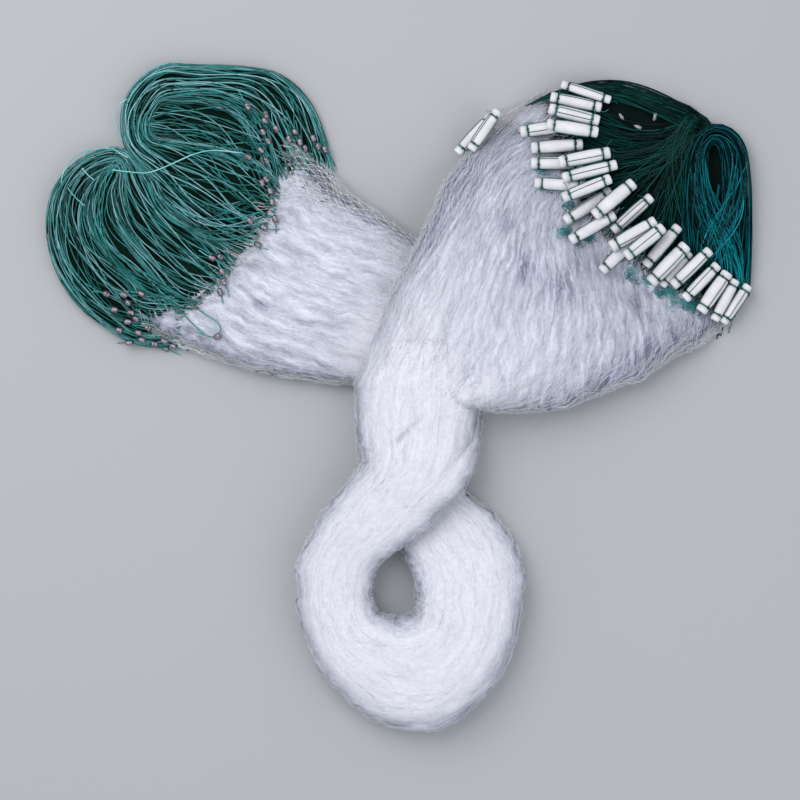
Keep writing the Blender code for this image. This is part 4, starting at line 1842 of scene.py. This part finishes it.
def laid_line(name, route, shade, finish):
    """A laid line along a route, with its plies' grooves turning round it and painted darker as shade, as a
    piece.
    """
    points = [Vector(point) for point in smooth_route(route, RING_STEP)]
    made = bmesh.new()
    shades = made.verts.layers.float.new("shade")
    rings = []
    for i, point in enumerate(points):
        ahead = (points[min(i + 1, len(points) - 1)] - points[max(i - 1, 0)]).normalized()
        aside = ahead.cross(UP).normalized()
        over = aside.cross(ahead)
        ring = []
        for k in range(LINE_SIDES):
            angle = 2 * math.pi * (k + i * RING_TURN) / LINE_SIDES
            groove = k % (LINE_SIDES // PLIES) == 0
            radius = LINE_ACROSS / 2 * (1 - PLY_GROOVE * groove)
            place = point + (aside * math.cos(angle) + over * math.sin(angle)) * radius
            vertex = made.verts.new(place * MM)
            # The grooves are painted darker: a painted shade in them.
            vertex[shades] = shade * (0.4 if groove else 1.0)
            ring.append(vertex)
        rings.append(ring)
    for corners in (*faces_between(rings), rings[0], rings[-1]):
        made.faces.new(corners)
    return keep_closed(name, made, finish)


print("rings along the loop:", len(smooth_route(LOOP_ROUTE, RING_STEP)))

# %% [markdown]
# ## Sinkers
#
# A split lead is a short cylinder with a slit. It is pinched shut on the line, which leaves it oval, with a
# waist between two jaw marks and the slit still showing. Most of them gather at the edge of the netting.
# Each sinker that is a solid of its own is drawn where that solid lies, and the rest lie on the hank.

# %% Where the turned solids lie
Lying = namedtuple("Lying", "centre axis length across")
Turned = namedtuple("Turned", "along radius")


def lying(name):
    """Where a turned solid lies and how large it is, from its own points."""
    points = np.array([vertex.co for vertex in nodes[name].data.vertices])
    points = np.unique(points.round(6), axis=0) / MM
    centre = points.mean(axis=0)
    axis = np.linalg.svd(points - centre, full_matrices=False)[2][0]
    if axis[0] < 0:
        axis = -axis
    along = (points - centre) @ axis
    out = np.linalg.norm(points - centre - np.outer(along, axis), axis=1)
    return Lying(Vector(centre), Vector(axis), along.max() - along.min(), 2 * out.max())


def place_of(item):
    """The matrix that turns a piece made along X to where it lies."""
    over = (UP - item.axis * UP.dot(item.axis)).normalized()
    turned = Matrix((item.axis, over.cross(item.axis), over)).transposed().to_4x4()
    return Matrix.Translation(item.centre) @ turned


def add_turned(made, item, profile, sides, press):
    """Adds a piece turned about X, closed at both ends. press changes a point of it."""
    place = place_of(item)
    shades = made.verts.layers.float["shade"]
    rings = []
    for row in profile:
        ring = []
        for k in range(sides):
            angle = 2 * math.pi * k / sides
            point, shade = press(row, angle, item)
            vertex = made.verts.new((place @ point) * MM)
            vertex[shades] = shade
            ring.append(vertex)
        rings.append(ring)
    for corners in (*faces_between(rings), rings[0], rings[-1][::-1]):
        made.faces.new(corners)


def turned_piece(name, items, profile, sides, press, material):
    """All the turned pieces of one kind, as one piece."""
    made = bmesh.new()
    made.verts.layers.float.new("shade")
    for item in items:
        add_turned(made, item, profile, sides, press)
    return keep_closed(name, made, material)


print("the sinker on the loop is", round(lying("sinker_on_loop").length, 1), "mm long")

# %% The shape and finish of a sinker
SINKER_PROFILE = (
    Turned(-0.5, 0.45),
    Turned(-0.45, 0.80),
    Turned(-0.22, 1.0),
    Turned(0.0, 0.90),
    Turned(0.22, 1.0),
    Turned(0.45, 0.80),
    Turned(0.5, 0.45),
)
SINKER_SIDES = 10
SLIT_DEPTH = 0.45
OVAL_WIDE = 1.04
OVAL_HIGH = 0.94
SINKER_LENGTH = 7.5
SINKER_ACROSS = 5.8


def pinch(row, angle, item):
    """A point of a pinched sinker, oval and deep in its slit, with painted shade where it narrows and in
    the slit.
    """
    radius = row.radius * item.across / 2
    in_slit = math.cos(angle - math.pi / 2) > 0.99
    if in_slit:
        radius *= 1 - SLIT_DEPTH
    wide = OVAL_WIDE * radius * math.cos(angle)
    high = OVAL_HIGH * radius * math.sin(angle)
    # The stored shade follows the radius and is nothing in the slit: a painted shade, not the lead's
    # colour.
    return Vector((row.along * item.length, wide, high)), 0.0 if in_slit else row.radius


def lead_material():
    """Dull grey lead, with painted shade in its slit and at its narrow ends, and dents that catch the
    light.
    """
    material, t, shader = shader_of("pinched_lead", 0.22, specular=0.8, metallic=0.75)
    grey = tinted(t, (0.012, 0.011, 0.014), (0.32, 0.285, 0.325), power=2.6, cloud=1.6, span=3.5)
    t.feed(shader.inputs["Base Color"], grey)
    own = t.own_place()
    dents = t.noise(own, 900.0, 2.0).outputs["Fac"]
    add_bump(t, shader, dents, strength=0.9, depth=0.7)
    return material


lead = lead_material()
print("finish of the sinkers:", lead.name)

# %% Lay the sinkers
SINKER_SUNK = 0.6
# The sinker on the loose loop lies along the line at the loop's bend.
ON_LOOP_AT = Vector((-182.5, 59.4, 29.3))
ON_LOOP_AXIS = Vector((0.86, 0.5, 0.1)).normalized()
Sinker = namedtuple("Sinker", "x y turn")
MORE_SINKERS = (
    Sinker(-135, 275, -65),
    Sinker(-132, 255, -60),
    Sinker(-111, 257, -70),
    Sinker(-82, 250, -55),
    Sinker(-134, 236, -60),
    Sinker(-95, 248, -62),
    Sinker(-138, 213, -70),
    Sinker(-128, 194, -75),
    Sinker(-150, 175, -40),
    Sinker(-142, 151, -30),
    Sinker(-180, 139, -60),
    Sinker(-180, 104, -70),
    Sinker(-259, 102, -20),
    Sinker(-272, 93, -15),
    Sinker(-269, 83, -10),
    Sinker(-281, 66, -15),
    Sinker(-264, 77, -20),
    Sinker(-262, 63, -5),
    Sinker(-258, 56, -10),
    Sinker(-236, 48, -25),
    Sinker(-246, 52, -10),
    Sinker(-228, 50, -20),
)
sinker_names = sorted(name for name in nodes if name.startswith("sinker_") and name != "sinker_on_loop")
sinker_items = [lying(name) for name in sinker_names]
for row in MORE_SINKERS:
    high = height_at(row.x, row.y) + SINKER_ACROSS / 2 - SINKER_SUNK
    centre = Vector((row.x, row.y, high))
    sinker_items.append(Lying(centre, pointing(row.turn), SINKER_LENGTH, SINKER_ACROSS))
sinkers = turned_piece("sinkers", sinker_items, SINKER_PROFILE, SINKER_SIDES, pinch, lead)
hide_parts(*sinker_names)
loop_item = lying("sinker_on_loop")._replace(centre=ON_LOOP_AT, axis=ON_LOOP_AXIS)
loop_sinker = turned_piece("loop_sinker", [loop_item], SINKER_PROFILE, SINKER_SIDES, pinch, lead)
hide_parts("sinker_on_loop")

# %% Lines through the sinkers
LINE_STEPS = 5


def line_through(item, reach):
    """A line that runs through a sinker and bends down to the hank on both sides."""
    bends = rng.uniform(-1, 1) * 4, rng.uniform(-1, 1) * 4
    points = []
    for k in range(-LINE_STEPS, LINE_STEPS + 1):
        share = k / LINE_STEPS
        place = item.centre + item.axis * share * reach
        place += item.axis.cross(UP) * bends[k > 0] * share * share
        rest = min(height_at(place.x, place.y), item.centre.z) - 0.3
        place.z = rest + (item.centre.z - rest) * math.cos(min(1.0, abs(share) * 1.3) * math.pi / 2)
        points.append(place)
    return points


lines = []
for item in sinker_items:
    points = line_through(item, rng.uniform(14, 24))
    lines.append(Line(points, SINGLE_LINE_ACROSS, rng.uniform(0.3, 0.8)))
lay_lines("line_through_sinkers", lines, "lead_line", lead_cord, sides=4)

# %% The two loose cords
KNOT_AT = Vector(LOOP_ROUTE[4])
knot_lines = [Line(tangle(KNOT_AT, 1.6), SINGLE_LINE_ACROSS, 0.9)]
loop_knot = lay_lines("loop_knot", knot_lines, "lead_line", lead_cord, sides=5)
Cord = namedtuple("Cord", "name node route shade finish far_end pieces")
CORDS = (
    Cord("loose_loop", "lead_line_loop", LOOP_ROUTE, 0.3, lead_cord, "object", (loop_sinker, loop_knot)),
    Cord("loose_end", "lead_line_end", END_ROUTE[::-1], 0.35, highlit_cord, "bare", ()),
)
for row in CORDS:
    piece = laid_line(row.name, row.route, row.shade, row.finish)
    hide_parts(row.node)
    path = [Vector(point) * MM for point in smooth_route(row.route)]
    length = sum((b - a).length for a, b in zip(path, path[1:]))
    print(row.name, "is", round(length / MM), "mm long")

# %% Bights that stand clear of the hank
BIGHT_STEP = 4.0
BIGHTS = (
    (
        (-339, 213),
        (-336, 226),
        (-329, 236),
        (-317, 244),
        (-303, 247),
        (-290, 248),
        (-282, 244),
        (-272, 238),
    ),
    ((-273, 297), (-280, 293), (-285, 285), (-286, 277), (-283, 266), (-278, 256)),
    ((-317, 234), (-315, 242), (-309, 246), (-299, 248), (-288, 246)),
    ((-332, 208), (-325, 199), (-315, 190)),
    ((-318, 228), (-312, 221), (-306, 216)),
)
lines = []
for row in BIGHTS:
    high = max(height_at(x, y) for x, y in row) + 0.6
    route = [Point(x, y, high) for x, y in row]
    lines.append(Line(smooth_route(route, BIGHT_STEP), SINGLE_LINE_ACROSS, 0.3))
lay_lines("stray_bights", lines, "lead_line", highlit_cord, sides=4)

# %% [markdown]
# ## Floats
#
# Each float is a short bar of white foam, a little fuller in the middle. A groove near each end holds the
# twine that lashes the float line to it, so there is a round knob at both ends. Foam has fine pores, small
# dents from handling, and a green stain where wet twine rubs on it.

# %% Foam floats
GROOVE_AT = 0.355
GROOVE_RADIUS = 0.74
FLOAT_HALF = (
    Turned(0.0, 1.0),
    Turned(0.12, 0.99),
    Turned(0.22, 0.965),
    Turned(0.30, 0.93),
    Turned(0.325, 0.90),
    Turned(0.338, 0.78),
    Turned(GROOVE_AT, GROOVE_RADIUS),
    Turned(0.372, 0.78),
    Turned(0.385, 0.88),
    Turned(0.44, 0.89),
    Turned(0.475, 0.86),
    Turned(0.493, 0.76),
    Turned(0.5, 0.60),
)
FLOAT_PROFILE = [Turned(-row.along, row.radius) for row in FLOAT_HALF[:0:-1]] + list(FLOAT_HALF)
FLOAT_SIDES = 18
# Room for the dents inside the solid, and how deep and how close together they are.
FOAM_SHARE = 0.97
DENT = 0.35
DENT_SCALE = 0.16
# The twine's stain reaches this far from the groove and fades over this, as shares of a float's length.
STAIN_REACH = 0.012
STAIN_FADE = 0.03


def foam_point(row, angle, item):
    """A point of a float, with small dents, and how stained it is."""
    radius = row.radius * item.across / 2 * FOAM_SHARE
    point = Vector((row.along * item.length, radius * math.cos(angle), radius * math.sin(angle)))
    dent = noise.noise(point * DENT_SCALE + item.centre) * DENT
    point += Vector((0.0, math.cos(angle), math.sin(angle))) * dent
    from_stain = max(0.0, abs(abs(row.along) - GROOVE_AT) - STAIN_REACH)
    return point, 1.0 - min(1.0, from_stain / STAIN_FADE)


def foam_material():
    """White foam, a little uneven, stained green at the grooves, with fine pores."""
    material, t, shader = shader_of("white_foam", 0.62, specular=0.35)
    cloud = t.node("ShaderNodeGroup", {"Span": 14.0, "Contrast": 2.0}, node_tree=cloud_mask)
    white = mixed(t, cloud.outputs["Mask"], (0.70, 0.68, 0.72), (0.85, 0.85, 0.88))
    stain = t.stored("shade")
    stained = mixed(t, t.math("MULTIPLY", stain, 0.75), white, (0.22, 0.34, 0.31))
    t.feed(shader.inputs["Base Color"], stained)
    own = t.own_place()
    pores = t.node("ShaderNodeTexVoronoi", {"Vector": own, "Scale": 1100.0}).outputs["Distance"]
    add_bump(t, shader, pores, strength=0.35, depth=0.3)
    return material


foam = foam_material()
print("finish of the floats:", foam.name)

# %% Lay the floats
float_items = [lying(name) for name in float_names]
floats = turned_piece("floats", float_items, FLOAT_PROFILE, FLOAT_SIDES, foam_point, foam)
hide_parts(*float_names)
print("floats:", len(float_items))

# %% [markdown]
# ## Lashings
#
# Green twine is wound round each groove and knotted, and its ends are left a little long. It holds lengths
# of the float line along the float, at both sides and on some floats over the top. Loose twine and meshes
# of the netting are caught at the netting's edge, under the floats' ends and in the float line's hank, so
# they tangle there in small bunches.
# The dark line at both sides of each float is partly a painted shade along its outline.

# %% Twine on the floats
TWINE_ACROSS = 0.8
TWINE_END_ACROSS = 0.7
HELD_LINE_ACROSS = 0.9
HELD_POINTS = 12
WINDINGS = 2
WINDING_POINTS = 13
WINDING_PITCH = 0.95
# Where the float line runs at a float's sides, as turns from its top. These dark lines at the floats'
# outlines are partly real line and partly a painted shade along each float.
AT_SHADED_SIDE = (1.15, 1.5)


def round_float(item, along, angle, clear):
    """A place just off a float's surface, clear of it by some mm."""
    share = np.interp(along, [row.along for row in FLOAT_PROFILE], [row.radius for row in FLOAT_PROFILE])
    radius = share * item.across / 2 * FOAM_SHARE + clear
    point = Vector((along * item.length, radius * math.cos(angle), radius * math.sin(angle)))
    return place_of(item) @ point


def lashing(item, end):
    """The windings of twine in one groove."""
    points = []
    count = WINDINGS * WINDING_POINTS
    first = rng.uniform(0, 6)
    for k in range(count + 1):
        angle = first + 2 * math.pi * k / WINDING_POINTS
        slide = (k / count - 0.5) * (WINDINGS - 1) * WINDING_PITCH
        place = round_float(item, end * GROOVE_AT, angle, 0.35 + 0.3 * rng.random())
        points.append(place + item.axis * slide)
    return points


lashings, held_lines_and_shade = [], []
for item in float_items:
    shade = rng.uniform(0.0, 0.35)
    for end in (-1, 1):
        lashings.append(Line(lashing(item, end), TWINE_ACROSS, shade))
        knot_angle = math.pi / 2 + rng.uniform(-0.9, 0.9)
        knot = round_float(item, end * GROOVE_AT, knot_angle, 1.1)
        lashings.append(Line(tangle(knot, 1.3), TWINE_ACROSS, shade + 0.2))
        for _ in range(2):
            end_points = tail(knot, level_stray(1), rng.uniform(8, 17))
            lashings.append(Line(end_points, TWINE_END_ACROSS, rng.uniform(0.3, 1.0)))
    first = rng.uniform(-0.9, 0.6)
    turns = [first + rng.uniform(0.3, 0.9) * k for k in range(rng.choice((0, 1, 1, 2)))]
    # The two side lines stand partly for the shade along the float's outline: a painted shade.
    for turn in (-rng.uniform(*AT_SHADED_SIDE), rng.uniform(*AT_SHADED_SIDE), *turns):
        slope = rng.uniform(-0.15, 0.15)
        points = []
        for n in range(HELD_POINTS):
            share = (-1 + 2 * n / (HELD_POINTS - 1)) * (GROOVE_AT + 0.01)
            points.append(round_float(item, share, math.pi / 2 + turn + slope * share, 0.55))
        held_lines_and_shade.append(Line(points, HELD_LINE_ACROSS, rng.uniform(0.0, 0.4)))
lay_lines("lashings", lashings, "float_line", twine_green)
lay_lines("line_and_shade_along_floats", held_lines_and_shade, "float_line", twine_green)

# %% Netting and twine caught at the edges
EDGE_FIBRES = 560
EDGE_FIBRE_ACROSS = 0.5
EDGE_CURLS = 70
# Where small tufts of mesh are caught in the float line's hank, and which way each lies, in degrees.
Tuft = namedtuple("Tuft", "x y turn")
CAUGHT = (Tuft(222, 279, -52), Tuft(238, 269, -20), Tuft(255, 280, 66))
FIBRES_IN_A_TUFT = 16
# Where loose twine is tangled under the ends of the floats.
TANGLES = (
    (251, 113),
    (261, 105),
    (281, 98),
    (297, 87),
    (309, 79),
    (233, 121),
    (216, 140),
    (188, 157),
    (171, 166),
    (141, 228),
    (131, 268),
    (150, 212),
    (166, 193),
    (290, 91),
    (270, 103),
)
TURNS_IN_A_TANGLE = 8
TURN_POINTS = 17
TURN_STEP = 41


def loose_turn(centre, size, over):
    """A loose, flattened turn or two of twine that lies over what is below it."""
    points = []
    first = rng.uniform(0, 360)
    drift = pointing(rng.uniform(0, 360)) * size * 0.1
    flat = rng.uniform(0.45, 1.0)
    for k in range(TURN_POINTS):
        round_it = pointing(first + TURN_STEP * k) * size
        place = centre + drift * k + Vector((round_it.x, round_it.y * flat, 0.0))
        place.z = height_at(place.x, place.y, HANKS) + over
        points.append(place)
    return points


def edge_fibres(section, outward, count, longest):
    """Fibres that leave the netting's edge at one end row and lie down on what is below."""
    fibres = []
    for _ in range(count):
        place, way = edge_of(section, rng.uniform(-0.98, 0.98))
        start = place - way * outward * rng.uniform(2, 22)
        length = longest * rng.uniform(0.3, 1.0) ** 1.5
        way = way * outward + level_stray(0.4)
        points = tail(start, way, length, 7, curl=0.14, over=rng.uniform(0.5, 1.8))
        fibres.append(Line(points, EDGE_FIBRE_ACROSS, rng.random()))
    return fibres


print("tangles of twine:", len(TANGLES))

# %% Lay what is caught at the edges
at_floats = edge_fibres(NETTING[-1], 1, EDGE_FIBRES, 34)
at_sinkers = edge_fibres(NETTING[0], -1, EDGE_FIBRES // 2, 20)
lay_lines("netting_at_edges", at_floats + at_sinkers, "netting", loose_nylon)

caught = []
for tuft in CAUGHT:
    for _ in range(FIBRES_IN_A_TUFT):
        aside = pointing(tuft.turn + 90) * rng.uniform(-1.0, 1.0)
        start = Vector((tuft.x, tuft.y, 0.0)) + aside - pointing(tuft.turn) * rng.uniform(0, 5)
        start.z = height_at(start.x, start.y, HANKS) + rng.uniform(0.3, 1.0)
        way = pointing(tuft.turn + rng.uniform(-14, 14))
        points = tail(start, way, rng.uniform(3, 5), 6, curl=0.15)
        caught.append(Line(points, EDGE_FIBRE_ACROSS, rng.random()))
lay_lines("netting_caught_in_hank", caught, "netting", nylon)

curls = []
for _ in range(EDGE_CURLS):
    place, way = edge_of(NETTING[-1], rng.uniform(-0.98, 0.6))
    start = place + way * rng.uniform(-14, 6)
    start.z = height_at(start.x, start.y, HANKS) + 1.0
    points = tail(start, way, rng.uniform(8, 22), 9, curl=0.7, over=rng.uniform(0.8, 3.0))
    curls.append(Line(points, TWINE_ACROSS, rng.uniform(0.3, 1.0)))
    curls.append(Line(tangle(start, rng.uniform(1.0, 2.0)), TWINE_ACROSS, rng.uniform(0.3, 1.0)))
tangles = []
for x, y in TANGLES:
    for _ in range(TURNS_IN_A_TANGLE):
        centre = Vector((x + rng.uniform(-6, 6), y + rng.uniform(-5, 5), 0.0))
        points = loose_turn(centre, rng.uniform(1.5, 5.0), rng.uniform(3.0, 6.0))
        tangles.append(Line(points, TWINE_ACROSS, rng.uniform(0.3, 1.0)))
lay_lines("twine_at_netting", curls, "float_line", twine_green)
lay_lines("tangled_twine", tangles, "float_line", loose_twine)

# %% Sizes
low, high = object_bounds()
past_low = [round((a - b) / MM, 1) for a, b in zip(cad_low, low)]
past_high = [round((b - a) / MM, 1) for a, b in zip(cad_high, high)]
print("past the solids' box in mm:", past_low, past_high)
print("triangles in all:", sum(piece_count.values()))
